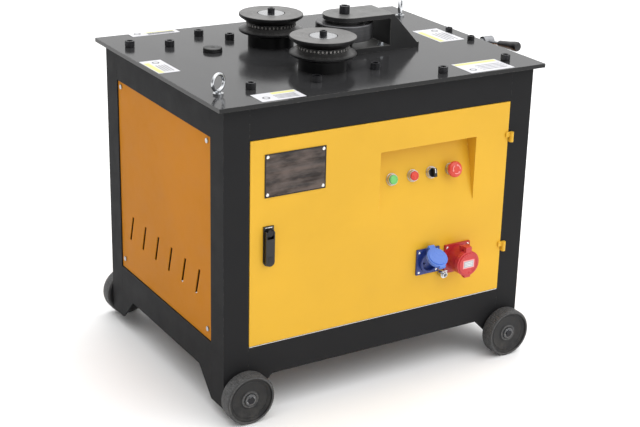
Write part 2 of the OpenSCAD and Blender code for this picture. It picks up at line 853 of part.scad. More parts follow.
// One tooth of a spur gear, centred on the angle c
function tooth(z, c) =
    let (rp = gear_m * z / 2, rb = rp * cos(20), ra = rp + gear_m, rf = rp - 1.2 * gear_m,
         half = 90 / z - 0.25 * 180 / PI / rp, at_pitch = inv(rp, rb),
         rs = [rf, max(rf, rb * 1.001), (rp + max(rf, rb)) / 2, rp, (rp + ra) / 2, ra],
         hs = [for (r = rs) half + at_pitch - (r > rb ? inv(r, rb) : 0)])
    concat([for (i = [0 : len(rs) - 1]) rs[i] * [cos(c - hs[i]), sin(c - hs[i])]],
           [for (i = [len(rs) - 1 : -1 : 0]) rs[i] * [cos(c + hs[i]), sin(c + hs[i])]]);

module spur_gear(z, bore, turn) {
    outline = [for (i = [0 : z - 1]) each tooth(z, 360 * i / z)];
    difference() {
        rotate([0, 0, turn]) linear_extrude(gear_t) polygon(outline);
        if (bore > 0) translate([0, 0, -1]) cylinder(r = bore, h = gear_t + 2);
    }
}

// A gap of each roller gear faces a tooth of the pinion
module roller_gear(y) {
    color("#85888c") machine() translate([roller_x, y, gear_top - gear_t])
        spur_gear(gear_z, 20 + run, 90 + 180 / gear_z);
}

module output_pinion() {
    color("#85888c") machine() {
        translate([roller_x, line_y, gear_top - gear_t]) spur_gear(pinion_z, 0, 90);
        rod(roller_x, line_y, cradle_z - 40, gear_top - gear_t + eps, 15);
    }
}

module shaft_a() { roller_shaft(roller_ys[0]); }
module shaft_b() { roller_shaft(roller_ys[1]); }
module groove_roller_a() { groove_roller(roller_ys[0]); }
module groove_roller_b() { groove_roller(roller_ys[1]); }
module upper_flange_a() { upper_flange(roller_ys[0]); }
module upper_flange_b() { upper_flange(roller_ys[1]); }
module clamp_washer_a() { clamp_washer(roller_ys[0]); }
module clamp_washer_b() { clamp_washer(roller_ys[1]); }
module clamp_screw_a() { clamp_screw(roller_ys[0]); }
module clamp_screw_b() { clamp_screw(roller_ys[1]); }
module gear_a() { roller_gear(roller_ys[0]); }
module gear_b() { roller_gear(roller_ys[1]); }

module gearbox() {
    color("#3f5f86") machine() difference() {
        union() {
            box([roller_x - box_l / 2, line_y - box_w / 2, cradle_z - box_h],
                [roller_x + box_l / 2, line_y + box_w / 2, cradle_z - 12]);
            rod(roller_x, line_y, cradle_z - 13, cradle_z, 60);
            rod(roller_x, line_y, cradle_z - 1, cradle_z + cradle_t, 29.5);
        }
        rod(roller_x, line_y, cradle_z - 42, cradle_z + cradle_t + 1, 15 + run);
    }
}

// Flanged motor with cooling rings, terminal box and fan cowl
module motor() {
    x0 = roller_x + box_l / 2;
    z0 = cradle_z - box_h / 2 - 6;
    color("#41638c") machine() {
        rod_x(x0, x0 + 14, line_y, z0, 62);
        rod_x(x0 + 14 - eps, x0 + 200, line_y, z0, 56);
        for (i = [0 : 13]) rod_x(x0 + 28 + 12 * i, x0 + 32 + 12 * i, line_y, z0, 63);
        rod_x(x0 + 200 - eps, x0 + 250, line_y, z0, 66);
        box([x0 + 60, line_y - 40, z0 - 92], [x0 + 140, line_y + 40, z0 - 50]);
    }
}

// ---------- pressure carriage ----------

// Base, back and top plates with two gussets; the tongue runs in the table slot to the nut
module carriage() {
    y0 = line_y - arm_r;
    y1 = line_y + arm_r;
    t = table_h;
    gusset = [[back_x + back_t - eps, t + throat_lo - eps], [base_x1 - 6, t + throat_lo - eps],
        [back_x + back_t - eps, t + arm_top - 3]];
    color("#2b2c2f") machine() difference() {
        union() {
            box([base_x0, y0, t], [base_x1, y1, t + throat_lo]);
            box([back_x, y0, t + throat_lo - eps], [back_x + back_t, y1, t + arm_top]);
            box([press_x, y0, t + throat_hi], [back_x + eps, y1, t + arm_top]);
            rod(press_x, line_y, t + throat_hi, t + arm_top, arm_r);
            rod(press_x, line_y, t + press_hi + 0.5, t + throat_hi + eps, 48);
            xz_prism(y0, y0 + 10, gusset);
            xz_prism(y1 - 10, y1, gusset);
            box([nut_x0, line_y - tongue_w / 2, lead_z], [nut_x1, line_y + tongue_w / 2, t + eps]);
            box([nut_x0, line_y - 26, lead_z - 22], [nut_x1, line_y + 26, top_z - air]);
        }
        rod(press_x, line_y, t - 1, t + arm_top + 1, pin_r + run);
        rod_x(nut_x0 - 1, nut_x1 + 1, line_y, lead_z, lead_r + run);
    }
}

module roller_pin() {
    t = table_h;
    color("#1d1d1f") machine() difference() {
        union() {
            rod(press_x, line_y, t + 1, t + arm_top + eps, pin_r);
            rod(press_x, line_y, t + throat_lo, t + press_lo - 0.5, 22);
            rod(press_x, line_y, t + arm_top, t + arm_top + 20, 13);
        }
        hex(press_x, line_y, t + arm_top + 10, t + arm_top + 21, 8);
    }
}

module pressure_roller() {
    h = press_hi - press_lo;
    profile = [[0, 0], [press_r - 2, 0], [press_r, 2], [press_r, h - 2], [press_r - 2, h], [0, h]];
    color("#5c5f63") machine() translate([press_x, line_y, table_h + press_lo]) difference() {
        rotate_extrude() polygon(profile);
        translate([0, 0, -1]) cylinder(r = pin_r + run, h = h + 2);
    }
}

module lead_screw() {
    color("#b3b6b9") machine() {
        rod_x(24, hub_x0 + 28, line_y, lead_z, lead_r);
        rod_x(bearing_x - 26, bearing_x - 18 - air, line_y, lead_z, 16);
        rod_x(bearing_x + 18 + air, bearing_x + 27, line_y, lead_z, 16);
    }
}

// Bearing block in the right top rail and the small end bearing under the table
module screw_bearing() {
    color("#2b2c2f") machine() difference() {
        union() {
            box([bearing_x - 18, line_y - 65, lead_z - 26], [bearing_x + 18, line_y + 65, top_z]);
            box([22, line_y - 30, lead_z - 20], [46, line_y + 30, top_z]);
        }
        rod_x(10, bearing_x + 20, line_y, lead_z, lead_r + run);
        for (p = bearing_points) rod(p[0], p[1], table_h - 36, top_z + 1, screw_r + run);
    }
}

// Hub on the screw's end with its lever bar, in the plane across the screw
module crank_lever() {
    color("#c3c5c8") machine() difference() {
        union() {
            rod_x(hub_x0, right_reach, line_y, lead_z, 15);
            on_lever() cylinder(r = 5, h = 126);
        }
        rod_x(hub_x0 - 1, hub_x0 + 28.1, line_y, lead_z, lead_r + run);
    }
}

// Local frame of the lever bar: +Z points along the bar, away from the screw
module on_lever() {
    translate([hub_x0 + hub_l / 2, line_y, lead_z]) rotate([90 - lever_tilt, 0, 0]) children();
}

module crank_grip() {
    r0 = 9;
    r1 = 13;
    foot = 55;
    tip = 134;
    side = [[0, foot], [r0 - 1, foot], [r0, foot + 2], [r1 - 2, foot + 45], [r1, tip - 14]];
    round_end = [for (a = [0 : 15 : 90]) [r1 - 6 + 6 * cos(a), tip - 6 + 6 * sin(a)]];
    color("#18181a") machine() on_lever() difference() {
        rotate_extrude() polygon(concat(side, round_end, [[0, tip]]));
        translate([0, 0, foot - 1]) cylinder(r = 5 + run, h = 73);
    }
}

table_top();
corner_posts();
top_rails_long();
top_rails_short();
base_rails_long();
base_rails_short();
drive_cradle();
left_panel();
right_panel();
rear_panel();
panel_screws();
door();
hinge_posts();
hinge_sleeves();
lock_plate();
lock_cam();
lock_lever();
nameplate();
control_bodies();
start_button();
stop_button();
selector_knob();
estop_head();
red_inlet();
red_lid();
blue_inlet();
blue_lid();
pedal_connector();
switch_box();
wheel_front_left();
wheel_front_right();
wheel_rear_left();
wheel_rear_right();
wheel_axles();
table_screws();
table_plug();
eyebolts();
bearing_housings();
shaft_a();
shaft_b();
groove_roller_a();
groove_roller_b();
upper_flange_a();
upper_flange_b();
clamp_washer_a();
clamp_washer_b();
clamp_screw_a();
clamp_screw_b();
gear_a();
gear_b();
output_pinion();
gearbox();
motor();
carriage();
roller_pin();
pressure_roller();
lead_screw();
screw_bearing();
crank_lever();
crank_grip();
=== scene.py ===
"""Looks of the three-roller bar bender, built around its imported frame.

Units are metres. +X runs to the right along the front, +Y to the back, +Z up.
"""

import json
import math

import bmesh
import bpy
from mathutils import Matrix, Vector


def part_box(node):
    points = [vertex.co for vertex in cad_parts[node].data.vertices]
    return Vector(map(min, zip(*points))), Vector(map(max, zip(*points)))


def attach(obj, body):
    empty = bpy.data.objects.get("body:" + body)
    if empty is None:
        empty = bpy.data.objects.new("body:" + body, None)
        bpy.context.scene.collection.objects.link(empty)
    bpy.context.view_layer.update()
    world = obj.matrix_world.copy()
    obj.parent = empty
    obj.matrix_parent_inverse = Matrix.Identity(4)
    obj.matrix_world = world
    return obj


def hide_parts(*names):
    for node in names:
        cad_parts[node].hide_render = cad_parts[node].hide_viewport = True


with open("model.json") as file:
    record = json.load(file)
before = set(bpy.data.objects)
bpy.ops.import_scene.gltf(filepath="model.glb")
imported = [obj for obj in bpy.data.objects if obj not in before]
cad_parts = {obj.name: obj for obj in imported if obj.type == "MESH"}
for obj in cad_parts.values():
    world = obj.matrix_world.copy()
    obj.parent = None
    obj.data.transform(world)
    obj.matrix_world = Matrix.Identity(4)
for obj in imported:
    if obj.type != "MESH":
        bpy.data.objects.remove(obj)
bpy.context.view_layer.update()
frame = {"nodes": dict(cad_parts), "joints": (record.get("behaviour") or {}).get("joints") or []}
MM = 0.001


# ---------- places, all taken from the frame ----------

def low(node):
    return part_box(node)[0]


def high(node):
    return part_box(node)[1]


def middle(node):
    return (low(node) + high(node)) / 2


TABLE_Z = high("table_top").z
TABLE_MID = middle("table_top")
DOOR_Y = low("door").y
ROLLER = {name: middle("clamp_washer_" + name) for name in ("a", "b")}
PRESS = middle("pressure_roller")
# each wheel's node and the body that it turns with
WHEELS = {
    "wheel_front_left": "wheel_fl", "wheel_front_right": "wheel_fr",
    "wheel_rear_left": "wheel_rl", "wheel_rear_right": "wheel_rr",
}


def on_table(x, y, z=0.0):
    """A point given in millimetres from the middle of the table's upper face."""
    return Vector((TABLE_MID.x + x * MM, TABLE_MID.y + y * MM, TABLE_Z + z * MM))


# ---------- node materials ----------

def srgb(r, g, b):
    """A display colour of 0 to 255 as linear RGBA."""
    def linear(c):
        c /= 255
        return c / 12.92 if c <= 0.04045 else ((c + 0.055) / 1.055) ** 2.4
    return (linear(r), linear(g), linear(b), 1.0)


def scaled(colour, factor):
    return tuple(min(1.0, c * factor) for c in colour[:3]) + (1.0,)


class Shade:
    """One node material. Most methods add nodes and return the output socket."""

    def __init__(self, name, **shader):
        self.material = bpy.data.materials.new(name)
        self.material.use_nodes = True
        self.tree = self.material.node_tree
        self.shader = self.tree.nodes["Principled BSDF"]
        for socket, value in shader.items():
            self.shader.inputs[socket.replace("_", " ")].default_value = value
        self.place = self.add("ShaderNodeTexCoord").outputs["Object"]

    def add(self, kind, **settings):
        node = self.tree.nodes.new(kind)
        for key, value in settings.items():
            setattr(node, key, value)
        return node

    def put(self, value, socket):
        """Feeds a socket from another socket or with a plain value."""
        if isinstance(value, bpy.types.NodeSocket):
            self.tree.links.new(value, socket)
        else:
            socket.default_value = value

    def math(self, operation, a, b=0.0, clamp=False):
        node = self.add("ShaderNodeMath", operation=operation, use_clamp=clamp)
        self.put(a, node.inputs[0])
        self.put(b, node.inputs[1])
        return node.outputs[0]

    def vector(self, operation, a, b=(0, 0, 0)):
        node = self.add("ShaderNodeVectorMath", operation=operation)
        self.put(a, node.inputs[0])
        self.put(b, node.inputs[1])
        return node.outputs["Value" if operation in ("LENGTH", "DOT_PRODUCT") else "Vector"]

    def noise(self, scale, detail=3.0, rough=0.55, at=None, stretch=None):
        place = at or self.place
        if stretch:
            place = self.vector("MULTIPLY", place, stretch)
        node = self.add("ShaderNodeTexNoise")
        self.put(place, node.inputs["Vector"])
        node.inputs["Scale"].default_value = scale
        node.inputs["Detail"].default_value = detail
        node.inputs["Roughness"].default_value = rough
        return node.outputs["Fac"]

    def span(self, value, low_in, high_in, low_out=0.0, high_out=1.0):
        """value mapped from one range onto another, held at the ends."""
        node = self.add("ShaderNodeMapRange")
        self.put(value, node.inputs["Value"])
        limits = (("From Min", low_in), ("From Max", high_in), ("To Min", low_out), ("To Max", high_out))
        for name, number in limits:
            node.inputs[name].default_value = number
        return node.outputs["Result"]

    def mix(self, factor, a, b):
        node = self.add("ShaderNodeMix", data_type="RGBA")
        self.put(factor, node.inputs["Factor"])
        self.put(a, node.inputs["A"])
        self.put(b, node.inputs["B"])
        return node.outputs["Result"]

    def edges(self, radius):
        """1 at the object's sharp edges and 0 on its faces."""
        bevel = self.add("ShaderNodeBevel", samples=4)
        bevel.inputs["Radius"].default_value = radius
        normal = self.add("ShaderNodeNewGeometry").outputs["Normal"]
        return self.span(self.vector("DOT_PRODUCT", bevel.outputs["Normal"], normal), 0.98, 0.80)

    def upward(self, least=0.3, most=0.9):
        """1 on faces that look up and 0 on the others."""
        normal = self.add("ShaderNodeNewGeometry").outputs["Normal"]
        split = self.add("ShaderNodeSeparateXYZ")
        self.put(normal, split.inputs[0])
        return self.span(split.outputs["Z"], least, most)

    def height(self, below, above):
        """0 up to the height below and 1 from the height above."""
        split = self.add("ShaderNodeSeparateXYZ")
        self.put(self.place, split.inputs[0])
        return self.span(split.outputs["Z"], below, above)

    def bump(self, value, strength, distance, normal=None):
        node = self.add("ShaderNodeBump")
        self.put(value, node.inputs["Height"])
        node.inputs["Strength"].default_value = strength
        node.inputs["Distance"].default_value = distance
        if normal:
            self.put(normal, node.inputs["Normal"])
        return node.outputs["Normal"]

    def finish(self, colour, roughness, normal=None):
        self.put(colour, self.shader.inputs["Base Color"])
        self.put(roughness, self.shader.inputs["Roughness"])
        if normal:
            self.put(normal, self.shader.inputs["Normal"])
        return self.material


RUBBED_STEEL = srgb(120, 118, 115)
DUST = srgb(168, 160, 148)


def powder_coat(name, colour, rough=0.42, grain=0.35, wear_and_highlight=0.5, worn_and_lit=RUBBED_STEEL, dust=0.12, shine=0.5):
    """Sprayed and baked paint: orange-peel grain, faint clouds, dust on top, rubbed edges; the edge colours
    given for the door and panels are a painted highlight.
    """
    s = Shade(name, Specular_IOR_Level=shine)
    clouds = s.noise(2.2, 4)
    patches = s.noise(17, 5, 0.6)
    tone = s.mix(s.span(clouds, 0.35, 0.65), scaled(colour, 0.94), scaled(colour, 1.05))
    tone = s.mix(s.span(patches, 0.55, 0.8, 0.0, 0.10), tone, scaled(colour, 0.75))
    dusty = s.math("MULTIPLY", s.upward(), s.span(patches, 0.35, 0.75, 0.0, dust))
    tone = s.mix(dusty, tone, DUST)
    # edges: rubbed wear, and with the door's and panels' pale edge colours a painted highlight
    chips = s.math("MULTIPLY", s.edges(1.6 * MM), s.span(s.noise(210, 4, 0.7), 0.52, 0.66, 0.0, wear_and_highlight))
    tone = s.mix(chips, tone, worn_and_lit)
    peel = s.noise(520, 2, 0.5)
    fine = s.noise(1700, 2, 0.6)
    normal = s.bump(peel, grain, 0.09 * MM)
    normal = s.bump(fine, grain * 0.6, 0.03 * MM, normal)
    gloss = s.span(patches, 0.3, 0.7, rough - 0.05, rough + 0.07)
    gloss = s.math("ADD", gloss, s.math("MULTIPLY", dusty, 0.8))
    return s.finish(tone, gloss, normal)


def table_paint():
    """Satin dark enamel with hairline scuffs from the bars that slide over it, and painted shade on its
    faces that don't look up.
    """
    colour = srgb(44, 44, 45)
    s = Shade("table_paint", Specular_IOR_Level=0.30)
    clouds = s.noise(3.0, 5)
    smears = s.noise(9, 5, 0.65, stretch=(1.0, 0.35, 1.0))
    scratches = s.noise(60, 3, 0.8, stretch=(6.0, 0.25, 1.0))
    cross = s.noise(45, 3, 0.8, stretch=(0.3, 7.0, 1.0))
    hair = s.math("MAXIMUM", s.span(scratches, 0.66, 0.74), s.span(cross, 0.68, 0.76))
    tone = s.mix(s.span(clouds, 0.3, 0.7), scaled(colour, 0.85), scaled(colour, 1.15))
    tone = s.mix(s.math("MULTIPLY", hair, 0.16), tone, srgb(120, 120, 122))
    # painted shade: faces that don't look up are darkened to 0.3 of the colour
    tone = s.mix(s.upward(), scaled(colour, 0.3), tone)
    chips = s.math("MULTIPLY", s.edges(1.5 * MM), s.span(s.noise(150, 4, 0.7), 0.48, 0.62, 0.0, 0.8))
    tone = s.mix(chips, tone, srgb(140, 138, 134))
    normal = s.bump(s.noise(380, 2), 0.12, 0.03 * MM)
    normal = s.bump(hair, 0.25, -0.03 * MM, normal)
    gloss = s.math("ADD", s.span(smears, 0.3, 0.75, 0.10, 0.20), s.math("MULTIPLY", hair, 0.10))
    return s.finish(tone, gloss, normal)


def radial_place(shade, axis, centre):
    """Coordinates (distance from the axis, place along it, 0), in metres, of a turned part."""
    moved = shade.vector("SUBTRACT", shade.place, tuple(centre))
    split = shade.add("ShaderNodeSeparateXYZ")
    shade.put(moved, split.inputs[0])
    names = [n for n in "XYZ" if n != axis]
    flat = shade.add("ShaderNodeCombineXYZ")
    shade.put(split.outputs[names[0]], flat.inputs[0])
    shade.put(split.outputs[names[1]], flat.inputs[1])
    out = shade.add("ShaderNodeCombineXYZ")
    shade.put(shade.vector("LENGTH", flat.outputs[0]), out.inputs[0])
    shade.put(split.outputs[axis], out.inputs[1])
    return out.outputs[0]


def turned_steel(name, colour, axis, centre, rough=0.3, marks=0.5, stain=0.3, wear_and_highlight=0.6, metallic=1.0,
                 rim=None):
    """Lathe-turned steel: fine rings round its axis, oil stains, and bright edges that are partly rubbed
    wear and partly painted highlight.

    rim, if given, is the dark colour painted as shade on the faces that don't look up.
    """
    s = Shade(name, Metallic=metallic)
    rings_at = radial_place(s, axis, centre)
    rings = s.noise(1400, 3, 0.7, at=rings_at)
    bands = s.noise(260, 2, 0.6, at=rings_at)
    stains = s.noise(26, 5, 0.65)
    tone = s.mix(s.span(bands, 0.3, 0.7), scaled(colour, 0.86), scaled(colour, 1.14))
    if rim:
        # painted shade: faces that don't look up take the dark rim colour
        tone = s.mix(s.upward(0.8, 0.98), rim, tone)
    tone = s.mix(s.span(stains, 0.52, 0.72, 0.0, stain), tone, scaled(colour, 0.45))
    # bright edges: partly rubbed wear, partly painted highlight
    rubbed = s.math("MULTIPLY", s.edges(0.9 * MM), s.span(s.noise(160, 3, 0.6), 0.35, 0.6, 0.2, wear_and_highlight))
    tone = s.mix(rubbed, tone, scaled(colour, 3.0))
    normal = s.bump(rings, marks, 0.02 * MM)
    gloss = s.span(stains, 0.3, 0.7, rough - 0.05, rough + 0.12)
    gloss = s.math("ADD", gloss, s.span(rings, 0.3, 0.7, 0.0, 0.06))
    return s.finish(tone, gloss, normal)


def ground_casting(name, paint, ground):
    """Dark painted casting whose upper faces are ground bare and lightly oiled."""
    s = Shade(name, Specular_IOR_Level=0.3)
    swirl = s.noise(240, 3, 0.7, stretch=(1.0, 0.12, 1.0))
    stains = s.noise(24, 5, 0.65)
    skin = s.noise(420, 3, 0.6)
    side = s.mix(s.span(stains, 0.35, 0.65), scaled(paint, 0.85), scaled(paint, 1.15))
    top = s.mix(s.span(swirl, 0.3, 0.7), scaled(ground, 0.88), scaled(ground, 1.12))
    top = s.mix(s.span(stains, 0.55, 0.75, 0.0, 0.35), top, scaled(ground, 0.5))
    bare = s.upward()
    tone = s.mix(bare, side, top)
    # pale edges: partly rubbed wear, partly painted highlight lines along the edges
    rubbed = s.math("MULTIPLY", s.edges(2.0 * MM), s.span(s.noise(190, 4, 0.7), 0.42, 0.58, 0.15, 0.9))
    tone = s.mix(rubbed, tone, srgb(146, 144, 140))
    s.put(s.math("MULTIPLY", bare, 0.55), s.shader.inputs["Metallic"])
    normal = s.bump(skin, 0.4, 0.06 * MM)
    normal = s.bump(swirl, 0.2, 0.02 * MM, normal)
    return s.finish(tone, s.span(stains, 0.3, 0.7, 0.34, 0.5), normal)


def plain_steel(name, colour, rough=0.3, grain=(1.0, 1.0, 1.0), stain=0.25, metallic=1.0, bump=0.3):
    """Drawn, plated or blackened steel; grain stretches its drawing marks."""
    s = Shade(name, Metallic=metallic)
    streaks = s.noise(420, 3, 0.65, stretch=grain)
    stains = s.noise(38, 5, 0.6)
    tone = s.mix(s.span(streaks, 0.3, 0.7), scaled(colour, 0.88), scaled(colour, 1.12))
    tone = s.mix(s.span(stains, 0.52, 0.72, 0.0, stain), tone, scaled(colour, 0.5))
    rubbed = s.math("MULTIPLY", s.edges(0.7 * MM), s.span(s.noise(240, 3), 0.4, 0.6, 0.1, 0.5))
    tone = s.mix(rubbed, tone, scaled(colour, 2.0))
    gloss = s.span(stains, 0.3, 0.7, rough - 0.06, rough + 0.1)
    return s.finish(tone, gloss, s.bump(streaks, bump, 0.02 * MM))


def moulded(name, colour, rough=0.4, grain=0.3, scuff=0.15):
    """Moulded plastic: spark-eroded grain, slight shine where it is handled, pale scuffs."""
    s = Shade(name, Specular_IOR_Level=0.5)
    texture = s.noise(900, 2, 0.6)
    handled = s.noise(30, 4, 0.6)
    tone = s.mix(s.span(s.noise(12, 3), 0.3, 0.7), scaled(colour, 0.93), scaled(colour, 1.06))
    pale = s.math("MULTIPLY", s.edges(0.8 * MM), s.span(s.noise(300, 3), 0.45, 0.65, 0.0, scuff * 2))
    rubs = s.math("MAXIMUM", pale, s.span(s.noise(90, 5, 0.75), 0.66, 0.8, 0.0, scuff))
    tone = s.mix(rubs, tone, scaled(colour, 1.8))
    gloss = s.span(handled, 0.3, 0.7, rough - 0.08, rough + 0.1)
    return s.finish(tone, gloss, s.bump(texture, grain, 0.03 * MM))


def wheel_radius(shade):
    """Distance from the nearest axle, in metres."""
    hub = middle("wheel_front_right")
    folded = shade.vector("ABSOLUTE", shade.vector("SUBTRACT", shade.place, (TABLE_MID.x, 0, 0)))
    moved = shade.vector("SUBTRACT", folded, (hub.x - TABLE_MID.x, 0, hub.z))
    return shade.vector("LENGTH", shade.vector("MULTIPLY", moved, (1, 0, 1)))


def wheel_rubber():
    """Grey-black moulding, dustier low down, with its hub and rims made pale, partly rubbed wear and partly
    painted highlight.
    """
    colour = srgb(32, 32, 33)
    s = Shade("wheel_rubber", Specular_IOR_Level=0.3)
    grains = s.noise(700, 3, 0.6)
    dirt = s.noise(45, 6, 0.7)
    flecks = s.noise(330, 3, 0.7)
    low_down = s.math("SUBTRACT", 1.0, s.height(0.0, 0.075), clamp=True)
    tone = s.mix(s.span(s.noise(9, 4), 0.3, 0.7), scaled(colour, 0.8), scaled(colour, 1.25))
    most = s.math("ADD", s.math("MULTIPLY", low_down, 0.2), 0.07)
    dust = s.math("MULTIPLY", s.span(dirt, 0.42, 0.75), most)
    tone = s.mix(dust, tone, srgb(128, 124, 118))
    radius = wheel_radius(s)
    # pale rings, partly rubbed wear and partly painted highlight: inner and outer radius in millimetres,
    # share of the surface, grey level
    rubbed = ((17, 21.5, 0.5, 118), (55.5, 60, 0.4, 118), (60.8, 70, 0.5, 125))
    for inner, outer, share, grey in rubbed:
        ring = s.math("MULTIPLY", s.span(radius, (inner - 1) * MM, (inner + 1) * MM),
                      s.span(radius, (outer - 0.8) * MM, (outer + 0.8) * MM, 1.0, 0.0))
        worn_and_lit = s.math("MULTIPLY", ring, s.span(flecks, 0.4, 0.6, share * 0.25, share))
        tone = s.mix(worn_and_lit, tone, srgb(grey, grey, grey))
    return s.finish(tone, s.span(dirt, 0.3, 0.7, 0.42, 0.62), s.bump(grains, 0.35, 0.04 * MM))


def etched_plate():
    """Dark anodised plate, rolled lengthwise, with fields etched a little lighter."""
    s = Shade("etched_plate", Metallic=0.6)
    at = s.vector("SUBTRACT", s.place, tuple(low("nameplate")))
    lines = s.noise(300, 4, 0.7, stretch=(0.05, 1.0, 1.0))
    fields = s.noise(34, 4, 0.6, at=at, stretch=(0.35, 1.0, 1.3))
    tone = s.mix(s.span(fields, 0.38, 0.62), srgb(38, 31, 28), srgb(94, 82, 76))
    tone = s.mix(s.span(lines, 0.4, 0.7, 0.0, 0.35), tone, srgb(80, 82, 84))
    tone = s.mix(s.math("MULTIPLY", s.edges(0.8 * MM), 0.5), tone, srgb(30, 26, 22))
    return s.finish(tone, s.span(lines, 0.3, 0.7, 0.30, 0.45), s.bump(lines, 0.2, 0.02 * MM))


def sticker_paper(name, colour):
    """Printed film with a faint weave, yellowed and rubbed in places."""
    s = Shade(name, Specular_IOR_Level=0.45)
    rubbed = s.noise(70, 5, 0.65)
    tone = s.mix(s.span(rubbed, 0.5, 0.8, 0.0, 0.35), colour, scaled(colour, 0.82))
    return s.finish(tone, s.span(rubbed, 0.3, 0.7, 0.28, 0.42), s.bump(s.noise(1200, 2), 0.15, 0.01 * MM))


def floor_paint():
    """Pale sealed floor, barely mottled."""
    s = Shade("floor_paint", Specular_IOR_Level=0.2)
    tone = s.mix(s.span(s.noise(1.1, 5), 0.35, 0.65), (0.90, 0.90, 0.90, 1), (0.93, 0.93, 0.93, 1))
    return s.finish(tone, 0.6, s.bump(s.noise(220, 3), 0.05, 0.05 * MM))


# pale edge colours of the door and panels: painted highlights along their edges, laid over the edge wear
PANEL_EDGE_HIGHLIGHT = srgb(232, 186, 124)
DOOR_EDGE_HIGHLIGHT = srgb(248, 222, 146)
FRAME_COAT = powder_coat("frame_coat", srgb(38, 38, 39), rough=0.52, grain=0.35, wear_and_highlight=0.65, shine=0.05)
DOOR_COAT = powder_coat("door_coat", srgb(217, 168, 44), rough=0.38, grain=0.22, wear_and_highlight=0.9, worn_and_lit=DOOR_EDGE_HIGHLIGHT,
                        dust=0.04, shine=0.26)
# painted shade: the three panels take a darker, redder copy of the door's yellow paint
SHADED_PANEL_COAT = powder_coat("shaded_panel_coat", srgb(190, 119, 6), rough=0.45, grain=0.22, wear_and_highlight=0.9, worn_and_lit=PANEL_EDGE_HIGHLIGHT,
                         dust=0.04, shine=0.06)
CASTING_COAT = powder_coat("casting_coat", srgb(15, 15, 16), rough=0.36, grain=0.5, wear_and_highlight=0.4,
                           dust=0.03, shine=0.2)
CARRIAGE_COAT = ground_casting("carriage_coat", srgb(34, 34, 35), srgb(112, 112, 111))
MACHINE_COAT = powder_coat("machine_coat", srgb(62, 96, 138), rough=0.35, grain=0.8, dust=0.3)
PRIMER_COAT = powder_coat("primer_coat", srgb(58, 59, 61), rough=0.5, grain=0.5, dust=0.25)
BOX_COAT = powder_coat("box_coat", srgb(186, 188, 191), rough=0.4, grain=0.4, wear_and_highlight=0.4, dust=0.2)
TABLE_COAT = table_paint()
BLACKENED = plain_steel("blackened_steel", srgb(44, 44, 47), rough=0.34, metallic=0.75)
# painted highlight: a lighter copy of the blackened steel, for the screws' knurled bands
KNURL_HIGHLIGHT = plain_steel("knurl_highlight_steel", srgb(84, 84, 86), rough=0.3, metallic=0.85)
DRAWN_STEEL = plain_steel("drawn_steel", srgb(136, 137, 140), rough=0.28, grain=(0.2, 1.0, 1.0))
BRIGHT = plain_steel("bright_steel", srgb(222, 222, 220), rough=0.22, stain=0.12)
STUD_STEEL = plain_steel("stud_steel", srgb(142, 140, 137), rough=0.38)
DULL_STEEL = plain_steel("dull_steel", srgb(104, 104, 105), rough=0.5, metallic=0.7)
ZINC = plain_steel("zinc_plate", srgb(176, 180, 184), rough=0.32)
CHROME = plain_steel("chrome_plate", srgb(198, 200, 203), rough=0.12, stain=0.12, bump=0.1)
SATIN_CHROME = plain_steel("satin_chrome", srgb(200, 200, 202), rough=0.24, stain=0.15, bump=0.15)
GEAR_STEEL = plain_steel("oiled_steel", srgb(128, 130, 134), rough=0.26, stain=0.5)
BLACK_PLASTIC = moulded("black_plastic", srgb(17, 17, 18), rough=0.38, scuff=0.1)
GRIP_PLASTIC = moulded("grip_plastic", srgb(20, 20, 21), rough=0.30, scuff=0.2)
RED_PLASTIC = moulded("socket_red", srgb(176, 38, 42), rough=0.34)
RED_LID = moulded("lid_red", srgb(188, 50, 52), rough=0.30)
RED_GLOSS = moulded("button_red", srgb(206, 62, 44), rough=0.24, grain=0.12)
PALE_RED = moulded("mark_red", srgb(232, 150, 146), rough=0.3, grain=0.12)
GREEN_GLOSS = moulded("button_green", srgb(108, 188, 102), rough=0.24, grain=0.12)
# lit and shaded copies of one blue plastic: the inlet's body darker as painted shade, its lid lighter as
# painted light
SHADED_BLUE_PLASTIC = moulded("socket_blue", srgb(30, 52, 122), rough=0.34)
LIT_BLUE_LID = moulded("lid_blue", srgb(76, 116, 202), rough=0.30)
WHITE_PLASTIC = moulded("index_white", srgb(236, 236, 232), rough=0.35, scuff=0.02)
SEAL_RUBBER = moulded("seal_rubber", srgb(26, 26, 27), rough=0.6, grain=0.5, scuff=0.1)
GREY_LABEL = sticker_paper("label_grey", srgb(176, 178, 182))
GREY_PRINT = sticker_paper("label_print", srgb(64, 64, 68))
PINK_LABEL = sticker_paper("label_border", srgb(236, 150, 148))
WHITE_LABEL = sticker_paper("label_white", srgb(202, 202, 206))
YELLOW_LABEL = sticker_paper("label_yellow", srgb(206, 202, 120))
PLATE = etched_plate()
PLATE_EDGE = plain_steel("plate_edge", srgb(24, 21, 20), rough=0.4, metallic=0.3)
WHEEL = wheel_rubber()
PRESS_STEEL = turned_steel("press_steel", srgb(84, 84, 86), "Z", PRESS, rough=0.26, marks=0.6, wear_and_highlight=1.0,
                           metallic=0.85)


def roller_steel(letter):
    # rim: painted shade on the roller's faces that don't look up
    return turned_steel("roller_steel_" + letter, srgb(118, 117, 116), "Z", ROLLER[letter], rough=0.36,
                        wear_and_highlight=1.0, metallic=0.8, rim=srgb(26, 26, 27))


def washer_steel(letter):
    return turned_steel("washer_" + letter, srgb(176, 177, 179), "Z", ROLLER[letter], rough=0.20,
                        marks=0.35, stain=0.1)


